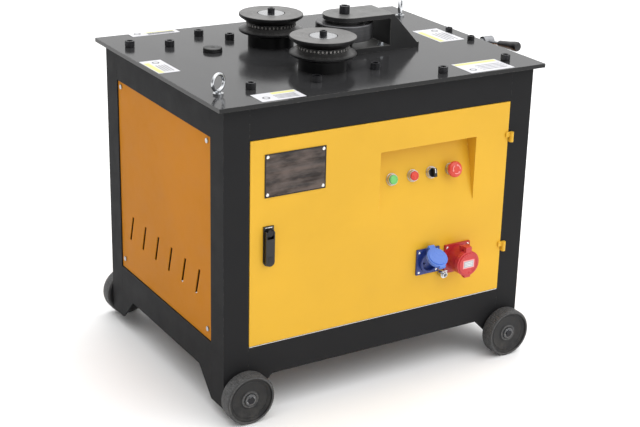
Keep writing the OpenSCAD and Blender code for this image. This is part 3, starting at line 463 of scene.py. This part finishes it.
LOOKS = {
    "table_top": TABLE_COAT, "corner_posts": FRAME_COAT, "top_rails_long": FRAME_COAT,
    "top_rails_short": FRAME_COAT, "base_rails_long": FRAME_COAT, "base_rails_short": FRAME_COAT,
    "drive_cradle": PRIMER_COAT, "left_panel": SHADED_PANEL_COAT, "right_panel": SHADED_PANEL_COAT,
    "rear_panel": SHADED_PANEL_COAT, "panel_screws": ZINC, "door": DOOR_COAT, "hinge_posts": DOOR_COAT,
    "hinge_sleeves": DOOR_COAT, "lock_plate": BLACK_PLASTIC, "lock_cam": BLACKENED,
    "lock_lever": BLACK_PLASTIC, "nameplate": PLATE, "control_bodies": SATIN_CHROME,
    "start_button": GREEN_GLOSS, "stop_button": RED_GLOSS, "selector_knob": BLACK_PLASTIC,
    "estop_head": RED_GLOSS, "red_inlet": RED_PLASTIC, "red_lid": RED_LID,
    "blue_inlet": SHADED_BLUE_PLASTIC, "blue_lid": LIT_BLUE_LID, "pedal_connector": CHROME,
    "switch_box": BOX_COAT, "wheel_axles": ZINC, "table_screws": BLACKENED,
    "table_plug": BLACK_PLASTIC, "eyebolts": CHROME, "bearing_housings": CASTING_COAT,
    "gearbox": MACHINE_COAT, "motor": MACHINE_COAT, "carriage": CARRIAGE_COAT,
    "roller_pin": BLACKENED, "lead_screw": DRAWN_STEEL, "screw_bearing": CASTING_COAT,
    "crank_lever": DRAWN_STEEL, "crank_grip": GRIP_PLASTIC, "output_pinion": GEAR_STEEL,
    "gear_a": GEAR_STEEL, "gear_b": GEAR_STEEL, "shaft_a": GEAR_STEEL, "shaft_b": GEAR_STEEL,
    "clamp_screw_a": BLACKENED, "clamp_screw_b": BLACKENED,
    "pressure_roller": PRESS_STEEL,
}
LOOKS.update({name: WHEEL for name in WHEELS})
for letter in ROLLER:
    roller_look = roller_steel(letter)
    LOOKS["groove_roller_" + letter] = roller_look
    LOOKS["upper_flange_" + letter] = roller_look
    LOOKS["clamp_washer_" + letter] = washer_steel(letter)


# ---------- the CAD nodes ----------

# widths of the rounded edges, in millimetres
EDGE = {
    "table_top": 0.8, "corner_posts": 1.2, "top_rails_long": 1.0, "top_rails_short": 1.0,
    "base_rails_long": 1.0, "base_rails_short": 1.0, "left_panel": 0.9, "right_panel": 0.9,
    "rear_panel": 0.9, "door": 1.7, "carriage": 1.2,
}
DEFAULT_EDGE = 0.4


def soften(obj, width):
    """Rounded edges: equal points joined, flat faces made whole, then a bevel of width millimetres."""
    weld = obj.modifiers.new("weld", "WELD")
    weld.merge_threshold = 0.002 * MM
    flat = obj.modifiers.new("flat", "DECIMATE")
    flat.decimate_type = "DISSOLVE"
    flat.angle_limit = math.radians(0.3)
    bevel = obj.modifiers.new("round", "BEVEL")
    bevel.width = width * MM
    bevel.segments = 2
    bevel.limit_method = "ANGLE"
    bevel.angle_limit = math.radians(30)
    bevel.harden_normals = True
    bevel.miter_outer = "MITER_ARC"


def dress(name, node):
    """Gives a CAD node its material and, as modifiers, softly rounded edges."""
    mesh = node.data
    if "custom_normal" in mesh.attributes:
        mesh.attributes.remove(mesh.attributes["custom_normal"])
    mesh.materials.clear()
    mesh.materials.append(LOOKS[name])
    for face in mesh.polygons:
        face.use_smooth = True
        face.material_index = 0
    soften(node, EDGE.get(name, DEFAULT_EDGE))


for node_name, node_object in frame["nodes"].items():
    dress(node_name, node_object)


# ---------- building blocks of the extra pieces ----------

def spot(x, y, z):
    """A point given in millimetres from the floor under the middle of the table."""
    return Vector((TABLE_MID.x + x * MM, TABLE_MID.y + y * MM, z * MM))


QUARTER = math.pi / 2
FACING = {
    "+x": Matrix.Rotation(QUARTER, 4, "Y"), "-x": Matrix.Rotation(-QUARTER, 4, "Y"),
    "+y": Matrix.Rotation(-QUARTER, 4, "X"), "-y": Matrix.Rotation(QUARTER, 4, "X"),
    "+z": Matrix.Identity(4), "-z": Matrix.Rotation(2 * QUARTER, 4, "X"),
}


def placed(origin, way):
    """Puts something made along +Z at the origin, along the way, such as "-y"."""
    return Matrix.Translation(origin) @ FACING[way]


def piece(name, bm, look, body, edge=0.3, replaces=()):
    """Turns a bmesh in the row frame into an object that rides on a CAD body.

    edge is the width of its rounded edges in millimetres; 0 leaves them sharp.
    """
    bmesh.ops.recalc_face_normals(bm, faces=bm.faces)
    mesh = bpy.data.meshes.new(name)
    bm.to_mesh(mesh)
    bm.free()
    if edge:
        mesh.shade_smooth()
    else:
        mesh.shade_flat()
    mesh.materials.append(look)
    obj = bpy.data.objects.new(name, mesh)
    bpy.context.scene.collection.objects.link(obj)
    if edge:
        soften(obj, edge)
    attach(obj, body)
    if replaces:
        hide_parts(*replaces)


def add_turned(bm, profile, at, segments=48, ripple=None):
    """A closed profile of (radius, height) points in millimetres turned about at's Z axis.

    ripple is (least radius, depth): further out than that radius, two points in every four
    dip by the depth, which makes tread or knurling.
    """
    rings = []
    for radius, height in profile:
        ring = []
        for i in range(segments if radius else 1):
            angle = 2 * math.pi * i / segments
            dip = ripple[1] if ripple and radius > ripple[0] and i % 4 > 1 else 0
            reach = (radius - dip) * MM
            point = Vector((reach * math.cos(angle), reach * math.sin(angle), height * MM))
            ring.append(bm.verts.new(at @ point))
        rings.append(ring)
    for one, two in zip(rings, rings[1:] + rings[:1]):
        if len(one) == 1 and len(two) == 1:
            continue
        for i in range(segments):
            j = (i + 1) % segments
            corners = [one[i % len(one)], one[j % len(one)], two[j % len(two)], two[i % len(two)]]
            bm.faces.new(list(dict.fromkeys(corners)))


def add_box_faces(bm, corners):
    """The six faces of a box from its corners, counted with the last coordinate fastest."""
    for face in ((0, 1, 3, 2), (4, 6, 7, 5), (0, 4, 5, 1), (2, 3, 7, 6), (0, 2, 6, 4), (1, 5, 7, 3)):
        bm.faces.new([corners[i] for i in face])


def add_block(bm, lo, hi, at=Matrix.Identity(4)):
    """A box between two corners, in metres, in the frame of at."""
    spans = [(lo[i], hi[i]) for i in range(3)]
    corners = [bm.verts.new(at @ Vector((x, y, z))) for x in spans[0] for y in spans[1] for z in spans[2]]
    add_box_faces(bm, corners)


def add_frame(bm, x0, x1, z0, z1, width, front, back):
    """Four bars round a rectangle that faces the front, in metres."""
    add_block(bm, (x0, front, z0), (x0 + width, back, z1))
    add_block(bm, (x1 - width, front, z0), (x1, back, z1))
    add_block(bm, (x0 + width, front, z0), (x1 - width, back, z0 + width))
    add_block(bm, (x0 + width, front, z1 - width), (x1 - width, back, z1))


def add_slab(bm, x0, x1, y0, y1, z0, z1):
    """A box in millimetres from the floor under the middle of the table."""
    add_block(bm, spot(x0, y0, z0), spot(x1, y1, z1))


def hexagon(radius, height):
    """Profile of a chamfered hexagon head in millimetres, for add_turned with six segments."""
    return [(0, 0), (radius, 0), (radius, height - 0.8), (radius - 1, height), (0, height)]


def add_bolt(bm, at, radius, height):
    """Hexagon bolt head on a washer."""
    washer, thick = radius * 1.25, 1.4
    add_turned(bm, [(0, 0), (washer, 0), (washer, thick), (0, thick)], at, 32)
    add_turned(bm, hexagon(radius, height), at @ Matrix.Translation((0, 0, thick * MM)), 6)


def dome(radius, height):
    """Profile of a low round head in millimetres."""
    steps = [(radius * math.cos(a), height * math.sin(a)) for a in (0.35, 0.8, 1.2)]
    return [(0, 0), (radius, 0)] + steps + [(0, height)]


# ---------- labels and nameplate ----------

LABEL_T = 0.4
PRINT_T = 0.15
# all in millimetres from the middle of the table
LABELS = (
    # name, x0, x1, y0, y1, then the same four for its yellow strip
    ("label_front_left", -340, -228, -337, -278, -292, -232, -293, -281),
    ("label_front_right", 227, 358, -340, -255, 231, 352, -272, -259),
    ("label_left", -447, -392, -31, 82, -444, -431, -27, 62),
    ("label_right", 332, 411, -59, 70, 336, 349, -54, 50),
    ("label_rear_left", -361, -230, 312, 343, -320, -236, 335, 340),
)


def make_labels():
    """Blank adhesive labels on the table, each with a yellow strip, a ring and ruled grey lines."""
    top = TABLE_Z / MM
    face = top + LABEL_T
    lines, line_width, margin, ring_room = 4, 2.4, 12, 46
    first_line, line_step = 0.18, 0.13
    ring = [(6, 0), (9, 0), (9, PRINT_T), (6, PRINT_T)]
    for name, x0, x1, y0, y1, strip_x0, strip_x1, strip_y0, strip_y1 in LABELS:
        bm = bmesh.new()
        add_slab(bm, x0, x1, y0, y1, top, face)
        piece(name, bm, WHITE_LABEL, "cabinet", 0.1)
        bm = bmesh.new()
        add_slab(bm, strip_x0, strip_x1, strip_y0, strip_y1, face, face + PRINT_T)
        piece(name + "_strip", bm, YELLOW_LABEL, "cabinet", 0)
        bm = bmesh.new()
        long_x = x1 - x0 > y1 - y0
        for i in range(lines):
            inset = first_line + line_step * i
            if long_x:
                y = y0 + (y1 - y0) * inset
                add_slab(bm, x0 + ring_room, x1 - margin, y, y + line_width, face, face + PRINT_T)
            else:
                x = x1 - (x1 - x0) * inset
                add_slab(bm, x - line_width, x, y0 + margin, y1 - ring_room, face, face + PRINT_T)
        centre = spot(x0 + 22, y0 + 24, face) if long_x else spot(x1 - 22, y1 - 22, face)
        add_turned(bm, ring, Matrix.Translation(centre), 32)
        piece(name + "_rules", bm, GREY_PRINT, "cabinet", 0)


def make_nameplate_trim():
    """Dark raised border and four rivets of the blank nameplate."""
    lo, hi = low("nameplate"), high("nameplate")
    border, proud, inset = 2.6 * MM, 0.35 * MM, 7 * MM
    bm = bmesh.new()
    add_frame(bm, lo.x, hi.x, lo.z, hi.z, border, lo.y - proud, lo.y)
    piece("nameplate_border", bm, PLATE_EDGE, "door", 0.1)
    bm = bmesh.new()
    for x in (lo.x + inset, hi.x - inset):
        for z in (lo.z + inset, hi.z - inset):
            add_turned(bm, dome(4.2, 1.8), placed((x, lo.y, z), "-y"), 24)
    piece("nameplate_rivets", bm, BRIGHT, "door", 0)


# ---------- screws, wheels and rollers ----------

# places of the screws, in millimetres from the middle of the table
CAP_SCREWS = (
    (-148, 193), (-148, -244), (38, -206), (14, 172), (-407, 227), (-316, 191), (-203, 258),
    (-313, -231), (168, -304), (378, -275),
)
BEARING_SCREWS = ((423, 29.5), (423, -69.5))


def make_knurls():
    """The knurled bands of the cap screws on the table, in a lighter copy of the screws' steel as painted
    highlight.
    """
    proud, dip = 0.45, 0.6
    bm = bmesh.new()
    for points, radius, height in ((CAP_SCREWS, 11.5, 15), (BEARING_SCREWS, 9, 11)):
        out, foot, head = radius + proud, 1.5, height - 2
        band = [(radius - 1, foot), (out, foot), (out, head), (radius - 1, head)]
        for x, y in points:
            add_turned(bm, band, Matrix.Translation(on_table(x, y)), 144, (radius, dip))
    piece("screw_knurls", bm, KNURL_HIGHLIGHT, "cabinet", 0)


def make_plug_cap():
    """Chamfered cap with a knurled rim on the blind plug, and the dimple in its middle."""
    lo, hi = low("table_plug"), high("table_plug")
    reach = (hi.x - lo.x) / 2 / MM
    rim, foot, head, dimple = reach - 0.6, -0.2, 6, 4.6
    at = Matrix.Translation(((lo.x + hi.x) / 2, (lo.y + hi.y) / 2, hi.z))
    profile = [(0, foot), (rim, foot), (rim, 4.5), (reach - 2.5, head), (6, head), (4, dimple), (0, dimple)]
    bm = bmesh.new()
    add_turned(bm, profile, at, 120, (reach - 1, 0.5))
    piece("plug_cap", bm, BLACK_PLASTIC, "cabinet", 0.2)


def make_wheel(node, body):
    """Moulded wheel with a ribbed tread, a raised rim and a stepped web. Returns its side, -1 or 1."""
    lo, hi, centre = low(node), high(node), middle(node)
    side = -1 if centre.y < TABLE_MID.y else 1
    inner = hi.y if side < 0 else lo.y
    at = placed((centre.x, inner, centre.z), "-y" if side < 0 else "+y")
    # radius and width in millimetres
    r = (hi.z - lo.z) / 2 / MM
    w = (hi.y - lo.y) / MM
    bore, ribs, rib_depth = 10.2, 72, 0.8
    inner_face = [(bore, 0), (20, 0), (22, 5), (42, 5), (45, 1), (r - 3, 1)]
    tread = [(r - 0.6, 3), (r, 5), (r, w - 6), (r - 0.7, w - 3)]
    rim = [(r - 2.5, w - 0.6), (r - 4, w), (r - 6.5, w), (r - 7.5, w - 1), (r - 8.2, w - 5)]
    web = [(r - 10, w - 6.4), (r - 14, w - 7), (r - 15, w - 6.2), (r - 17, w - 6.2), (r - 18, w - 7.2)]
    hub = [(29, w - 8.6), (26, w - 9), (23, w - 8), (21.5, w - 6.4), (19, w - 6), (bore, w - 6)]
    bm = bmesh.new()
    add_turned(bm, inner_face + tread + rim + web + hub, at, 4 * ribs, (r - 1, rib_depth))
    piece(node + "_moulding", bm, WHEEL, body, 0.25, (node,))
    return side


def make_wheels():
    """The four wheels, with a dark hexagon and a steel ring over each axle end."""
    sunk = 3.4 * MM
    ring = [(10.4, -0.4), (13.9, -0.4), (13.9, 0.5), (12.8, 1.0), (10.4, 1.0)]
    hexagons = bmesh.new()
    rings = bmesh.new()
    for node, body in WHEELS.items():
        side = make_wheel(node, body)
        centre = middle(node)
        outer = low(node).y if side < 0 else high(node).y
        at = placed((centre.x, outer - side * sunk, centre.z), "-y" if side < 0 else "+y")
        add_turned(hexagons, hexagon(10.3, 3.1), at, 6)
        add_turned(rings, ring, at, 48)
    piece("axle_hexagons", hexagons, BLACKENED, "cabinet", 0.3)
    piece("axle_washers", rings, DULL_STEEL, "cabinet", 0.2)


def make_grip_teeth(letter):
    """Studs round the groove of a driven roller, one on each land between its notches."""
    count = 40
    groove_radius, sunk, proud, half = 62.0, 1, 0.9, 2.0 * MM
    base = low("groove_roller_" + letter).z / MM
    foot, head = base + 16.5, base + 22.5
    x0, x1 = (groove_radius - sunk) * MM, (groove_radius + proud) * MM
    bm = bmesh.new()
    for i in range(count):
        turn = Matrix.Rotation(2 * math.pi * (i + 0.5) / count, 4, "Z")
        at = Matrix.Translation((ROLLER[letter].x, ROLLER[letter].y, 0)) @ turn
        add_block(bm, (x0, -half, foot * MM), (x1, half, head * MM), at)
    piece("grip_teeth_" + letter, bm, STUD_STEEL, "roller_" + letter, 0.6)


def make_carriage_bolts():
    """Four bolts on the carriage's foot plate, in pairs either side of its middle line."""
    bm = bmesh.new()
    foot_plate = 14
    base = TABLE_Z / MM + foot_plate
    line = (PRESS.y - TABLE_MID.y) / MM
    for x, y in ((146, -42), (146, 42), (215, -25), (215, 25)):
        add_bolt(bm, Matrix.Translation(spot(x, line + y, base)), 7.5, 5.5)
    piece("carriage_bolts", bm, ZINC, "carriage_slide", 0.3)


def make_thread():
    """The lead screw, with a left-handed thread over its whole length and two collars."""
    lo, hi, axis = low("lead_screw"), high("lead_screw"), middle("lead_screw")
    at = placed((lo.x, axis.y, axis.z), "+x")
    length = (hi.x - lo.x) / MM
    crest, depth, pitch, points_round, step = 10.0, 1.4, 4.0, 24, 0.8
    flank, flat = 2.2, 0.6
    bm = bmesh.new()
    rows = []
    count = int(length / step)
    for k in range(count + 1):
        along = length * k / count
        row = []
        for i in range(points_round):
            phase = (along / pitch + i / points_round) % 1
            wave = min(1.0, max(0.0, flank * abs(2 * phase - 1) - flat))
            reach = (crest - depth * wave) * MM
            angle = 2 * math.pi * i / points_round
            point = Vector((reach * math.cos(angle), reach * math.sin(angle), along * MM))
            row.append(bm.verts.new(at @ point))
        rows.append(row)
    for one, two in zip(rows, rows[1:]):
        for i in range(points_round):
            j = (i + 1) % points_round
            bm.faces.new((one[i], one[j], two[j], two[i]))
    bm.faces.new(rows[0])
    bm.faces.new(rows[-1])
    collar = 16
    wall = (high("screw_bearing").x - lo.x) / MM
    for start, end in ((wall - 44, wall - 36.2), (wall + 0.2, wall + 9)):
        add_turned(bm, [(0, start), (collar, start), (collar, end), (0, end)], at, 48)
    piece("lead_screw_thread", bm, DRAWN_STEEL, "crank", 0, ("lead_screw",))


# ---------- sockets, controls and lock ----------

def make_flange_screws():
    """Round-headed screws in the corners of the two inlet flanges."""
    inset = 7
    bm = bmesh.new()
    for node, half, thick in (("red_inlet", 38, 6), ("blue_inlet", 33.5, 5)):
        bottom = low(node).z
        centre = middle(node).x
        for x in (centre - (half - inset) * MM, centre + (half - inset) * MM):
            for z in (bottom + inset * MM, bottom + (2 * half - inset) * MM):
                add_turned(bm, dome(3.6, 1.8), placed((x, DOOR_Y - thick * MM, z), "-y"), 24)
    piece("flange_screws", bm, BRIGHT, "door", 0)


def make_lid_trim():
    """Blank pad with its border and lines, and the raised ring, on the face of the red lid."""
    lo, hi = low("red_lid"), high("red_lid")
    lid_radius = 37 * MM
    centre_x = (lo.x + hi.x) / 2
    centre_z = lo.z + lid_radius
    pads = (("red_lid_border", PINK_LABEL, 17, 11, 0.5), ("red_lid_pad", GREY_LABEL, 14.5, 8.5, 0.8))
    for name, look, wide, tall, out in pads:
        bm = bmesh.new()
        corner = (centre_x + wide * MM, lo.y + 0.2 * MM, centre_z + tall * MM)
        add_block(bm, (centre_x - wide * MM, lo.y - out * MM, centre_z - tall * MM), corner)
        piece(name, bm, look, "red_cover", 0.15)
    lines, spacing, wide, half_line = 3, 4, 11 * MM, 0.5 * MM
    bm = bmesh.new()
    for i in range(lines):
        z = centre_z + (spacing - spacing * i) * MM
        corner = (centre_x + wide, lo.y - 0.7 * MM, z + half_line)
        add_block(bm, (centre_x - wide, lo.y - 1.0 * MM, z - half_line), corner)
    piece("red_lid_rules", bm, WHITE_PLASTIC, "red_cover", 0)
    bm = bmesh.new()
    ring = [(25, 0), (28, 0), (28, 0.7), (25, 0.7)]
    add_turned(bm, ring, placed((centre_x, lo.y, centre_z), "-y"), 64)
    piece("red_lid_ring", bm, RED_LID, "red_cover", 0.2)


def joint(name):
    return next(j for j in frame["joints"] if j["name"] == name)


def on_pocket(node):
    """The place of a control on the door's sloped pocket, with +Z straight out of the slope."""
    selector = joint("selector_turn")
    across = Vector((1, 0, 0))
    out = Vector(selector["axis"]).normalized()
    up = across.cross(out)
    if up.z < 0:
        up = -up
    turn = Matrix((across, up, out)).transposed().to_4x4()
    pivot = Vector(selector["pos_m"])
    along = middle(node).x - pivot.x
    return Matrix.Translation(pivot + Vector((along, 0, 0))) @ turn


def make_selector_index():
    """White line on the selector's handle."""
    half, foot, head = 1.0 * MM, 20.8 * MM, 21.4 * MM
    bm = bmesh.new()
    add_block(bm, (-half, -half, foot), (half, 10 * MM, head), on_pocket("selector_knob"))
    piece("selector_index", bm, WHITE_PLASTIC, "selector", 0.1)


def make_estop_arrows():
    """Three curved arrows on the head of the emergency stop, each a row of short blocks."""
    radius, arrows, block_turn = 10.5, 3, 0.17
    half, foot, head = 0.95 * MM, 26.6 * MM, 28.9 * MM
    shaft, barb, tip = [1.1] * 7, [2.6], [1.3]
    at = on_pocket("estop_head")
    bm = bmesh.new()
    for i in range(arrows):
        start = 2 * math.pi * i / arrows
        for k, wide in enumerate(shaft + barb + tip):
            arc = Matrix.Rotation(start + block_turn * k, 4, "Z")
            x0, x1 = (radius - wide) * MM, (radius + wide) * MM
            add_block(bm, (x0, -half, foot), (x1, half, head), at @ arc)
    piece("estop_arrows", bm, PALE_RED, "emergency_stop", 0.2)


def make_button_rims():
    """Raised rims on the caps of the start and stop buttons."""
    rim = [(8.2, 12.5), (9.6, 12.5), (9.6, 13.2), (8.2, 13.2)]
    for name, look, slot in (("start", GREEN_GLOSS, "button_green"), ("stop", RED_GLOSS, "button_red")):
        bm = bmesh.new()
        add_turned(bm, rim, on_pocket(name + "_button"), 48)
        piece(name + "_button_rim", bm, look, name + "_cap", 0.2)


def make_bezel_rings():
    """Notched rings round the bezels of the four controls."""
    ring = [(14.0, 0.2), (15.4, 0.2), (15.4, 1.8), (14.0, 1.8)]
    bm = bmesh.new()
    for node in ("start_button", "stop_button", "selector_knob", "estop_head"):
        add_turned(bm, ring, on_pocket(node), 96, (15, 0.35))
    piece("bezel_rings", bm, SATIN_CHROME, "door", 0)


def make_lock_trim():
    """Grip ridges on the lock's lever and a bright strip at the top of its plate, a painted highlight."""
    lo, hi = low("lock_lever"), high("lock_lever")
    centre = (lo.x + hi.x) / 2
    ridges, first_ridge, pitch = 4, 9, 4.5
    half_wide, half_tall, proud = 7 * MM, 0.8 * MM, 0.8 * MM
    bm = bmesh.new()
    for i in range(ridges):
        z = lo.z + (first_ridge + pitch * i) * MM
        corner = (centre + half_wide, lo.y + 0.3 * MM, z + half_tall)
        add_block(bm, (centre - half_wide, lo.y - proud, z - half_tall), corner)
    piece("lock_lever_ridges", bm, BLACK_PLASTIC, "lock_handle", 0.4)
    # painted highlight: a bright strip along the top of the lock plate
    bm = bmesh.new()
    face = low("lock_plate").y
    top = high("lock_plate").z
    half_line = 9 * MM
    corner = (centre + half_line, face + 0.2 * MM, top - 2.4 * MM)
    add_block(bm, (centre - half_line, face - 0.15 * MM, top - 4 * MM), corner)
    piece("lock_plate_highlight", bm, BRIGHT, "door", 0)


# ---------- inside the cabinet ----------

def make_gearbox_trim():
    """Cover bolts and sight glass of the gearbox."""
    lo, hi = low("gearbox"), high("gearbox")
    inset, neck = 12 * MM, 52 * MM
    bm = bmesh.new()
    for x in (lo.x + inset, hi.x - inset, (lo.x + hi.x) / 2):
        for z in (lo.z + inset, hi.z - neck):
            add_bolt(bm, placed((x, lo.y, z), "-y"), 6.5, 4.5)
            add_bolt(bm, placed((x, hi.y, z), "+y"), 6.5, 4.5)
    piece("gearbox_bolts", bm, ZINC, "cabinet", 0.3)
    bm = bmesh.new()
    glass = [(0, 0), (16, 0), (16, 3), (12, 3), (12, 2.2), (0, 2.2)]
    glass_z = (lo.z + hi.z) / 2 - 20 * MM
    add_turned(bm, glass, placed(((lo.x + hi.x) / 2, lo.y, glass_z), "-y"), 48)
    piece("gearbox_sight_glass", bm, BRIGHT, "cabinet", 0.2)


def make_motor_trim():
    """Screws of the motor's terminal box, and dark rings painted on its fan cowl as the shade in its slots.
    """
    lo, hi = low("motor"), high("motor")
    axis_y = (lo.y + hi.y) / 2
    box_start, box_end, box_half = 66 * MM, 134 * MM, 32 * MM
    bm = bmesh.new()
    for x in (lo.x + box_start, lo.x + box_end):
        for y in (axis_y - box_half, axis_y + box_half):
            add_turned(bm, dome(4, 2), placed((x, y, lo.z), "-z"), 24)
    piece("terminal_box_screws", bm, ZINC, "cabinet", 0)
    # painted shade: dark rings standing for the shade inside the cowl's slots
    cowl_z = hi.z - 66 * MM
    width, proud = 3, 0.8
    bm = bmesh.new()
    for radius in (14, 24, 34, 44, 54):
        ring = [(radius, 0), (radius + width, 0), (radius + width, proud), (radius, proud)]
        add_turned(bm, ring, placed((hi.x, axis_y, cowl_z), "+x"), 64)
    piece("fan_cowl_slot_shade", bm, BLACK_PLASTIC, "cabinet", 0)


def behind_panel(node, across, depth):
    """X and Y in metres of a place behind a fixed panel: across it and in from its inner face."""
    lo, hi = low(node), high(node)
    return {
        "left_panel": (hi.x + depth * MM, TABLE_MID.y + across * MM),
        "right_panel": (lo.x - depth * MM, TABLE_MID.y + across * MM),
        "rear_panel": (TABLE_MID.x + across * MM, lo.y - depth * MM),
    }[node]


def make_shade_trays():
    """Dark trays behind the slanted ventilation slots of the three fixed panels, as painted shade inside
    the slots.

    Heights are in millimetres from the table's upper face. On the rear panel the trays in
    front of the switch box end below it.
    """
    pitch, slots, lean = 76, 6, 20
    foot, head = -508, -433
    box_foot = (low("switch_box").z - TABLE_Z) / MM - 2
    box_left = (low("switch_box").x - TABLE_MID.x) / MM - 40
    # the back and the two sides of a tray: nearest and furthest depth, start and end across
    tray = ((8, 9, -9, 19), (0.2, 8, -9, -8), (0.2, 8, 18, 19))
    for node in ("left_panel", "right_panel", "rear_panel"):
        bm = bmesh.new()
        for i in range(slots):
            centre = (i - (slots - 1) / 2) * pitch
            top = box_foot if node == "rear_panel" and centre > box_left else head
            for near, far, start, end in tray:
                corners = []
                for z in (foot, top):
                    shift = centre + lean * (0.5 - (z - foot) / (head - foot))
                    for depth in (near, far):
                        for across in (start + shift, end + shift):
                            place = behind_panel(node, across, depth)
                            corners.append(bm.verts.new((*place, TABLE_Z + z * MM)))
                add_box_faces(bm, corners)
        piece(node + "_shade_trays", bm, FRAME_COAT, "cabinet", 0)


def make_frame_edge_highlight():
    """A strip of bright steel along the lower edge of the frame's opening, under the door, as a painted
    highlight.
    """
    lo, hi = low("door"), high("door")
    gap, tall = 1.5 * MM, 1.3 * MM
    face = low("base_rails_long").y
    corner = (hi.x, face + 0.3 * MM, lo.z - gap + 0.05 * MM)
    bm = bmesh.new()
    add_block(bm, (lo.x, face - 0.12 * MM, lo.z - gap - tall), corner)
    piece("frame_edge_highlight", bm, BRIGHT, "cabinet", 0)


def make_door_seal():
    """Black rubber strip round the back of the door."""
    lo, hi = low("door"), high("door")
    back = DOOR_Y + 4.5 * MM
    thick, wide, inset = 3.5 * MM, 9 * MM, 26 * MM
    bm = bmesh.new()
    add_frame(bm, lo.x + inset, hi.x - inset, lo.z + inset, hi.z - inset, wide, back - thick, back)
    piece("door_seal", bm, SEAL_RUBBER, "door", 0.8)


make_labels()
make_nameplate_trim()
make_knurls()
make_plug_cap()
make_wheels()
for letter in ROLLER:
    make_grip_teeth(letter)
make_carriage_bolts()
make_thread()
make_flange_screws()
make_lid_trim()
make_selector_index()
make_estop_arrows()
make_button_rims()
make_bezel_rings()
make_lock_trim()
make_gearbox_trim()
make_motor_trim()
make_shade_trays()
make_frame_edge_highlight()
make_door_seal()


# ---------- camera, light and floor ----------

def make_camera():
    """The camera stands front left of the machine and looks down on its table."""
    azimuth, elevation, roll = (math.radians(a) for a in (-33.53, 20.94, 2.29))
    level = math.cos(elevation)
    back = Vector((math.sin(azimuth) * level, -math.cos(azimuth) * level, math.sin(elevation)))
    right = (-back).cross(Vector((0, 0, 1))).normalized()
    up = right.cross(-back)
    turned_right = right * math.cos(roll) + up * math.sin(roll)
    turned_up = up * math.cos(roll) - right * math.sin(roll)
    data = bpy.data.cameras.new("camera")
    data.lens = 80.15
    data.sensor_width = 36
    data.shift_x = -0.086
    camera = bpy.data.objects.new("camera", data)
    bpy.context.scene.collection.objects.link(camera)
    turn = Matrix((turned_right, turned_up, back)).transposed().to_4x4()
    eye = on_table(-1784.9, -2981.1, 898.3)
    camera.matrix_world = Matrix.Translation(eye) @ turn
    bpy.context.scene.camera = camera


def make_surround():
    """A white surround, dimmer on the left and brighter overhead."""
    scene = bpy.context.scene
    scene.view_settings.view_transform = "Standard"
    world = bpy.data.worlds.new("studio")
    scene.world = world
    world.use_nodes = True
    tree = world.node_tree
    background = tree.nodes["Background"]
    background.inputs["Color"].default_value = (1, 1, 1, 1)
    split = tree.nodes.new("ShaderNodeSeparateXYZ")
    tree.links.new(tree.nodes.new("ShaderNodeTexCoord").outputs["Generated"], split.inputs[0])
    total = tree.nodes.new("ShaderNodeMath")
    # the axis along which the strength rises, where it starts and ends, and its least and most
    ramps = (("X", -0.75, 0.15, 0.30, 1.12), ("Z", 0.35, 0.95, 0.0, 1.15))
    for socket, (axis, start, end, least, most) in zip(total.inputs, ramps):
        ramp = tree.nodes.new("ShaderNodeMapRange")
        ramp.interpolation_type = "SMOOTHSTEP"
        limits = (("From Min", start), ("From Max", end), ("To Min", least), ("To Max", most))
        for name, number in limits:
            ramp.inputs[name].default_value = number
        tree.links.new(split.outputs[axis], ramp.inputs["Value"])
        tree.links.new(ramp.outputs["Result"], socket)
    tree.links.new(total.outputs[0], background.inputs["Strength"])


def make_lamps():
    """A broad soft key lamp from the front right and a wide one overhead, in watts and metres."""
    target = Vector((0, 0, 0.5))
    for name, place, size, power in (("key", (1.6, -3.2, 2.6), 2.4, 18), ("top", (0.3, 0.6, 3.4), 3.0, 16)):
        data = bpy.data.lights.new(name, "AREA")
        data.size = size
        data.energy = power
        lamp = bpy.data.objects.new(name, data)
        bpy.context.scene.collection.objects.link(lamp)
        lamp.location = place
        lamp.rotation_euler = (target - Vector(place)).to_track_quat("-Z", "Y").to_euler()


def make_floor():
    """A wide level floor at the machine's foot."""
    mesh = bpy.data.meshes.new("floor")
    reach = 40
    corners = [(-reach, -reach, 0), (reach, -reach, 0), (reach, reach, 0), (-reach, reach, 0)]
    mesh.from_pydata(corners, [], [(0, 1, 2, 3)])
    floor = bpy.data.objects.new("floor", mesh)
    bpy.context.scene.collection.objects.link(floor)
    mesh.materials.append(floor_paint())


make_camera()
make_surround()
make_lamps()
make_floor()
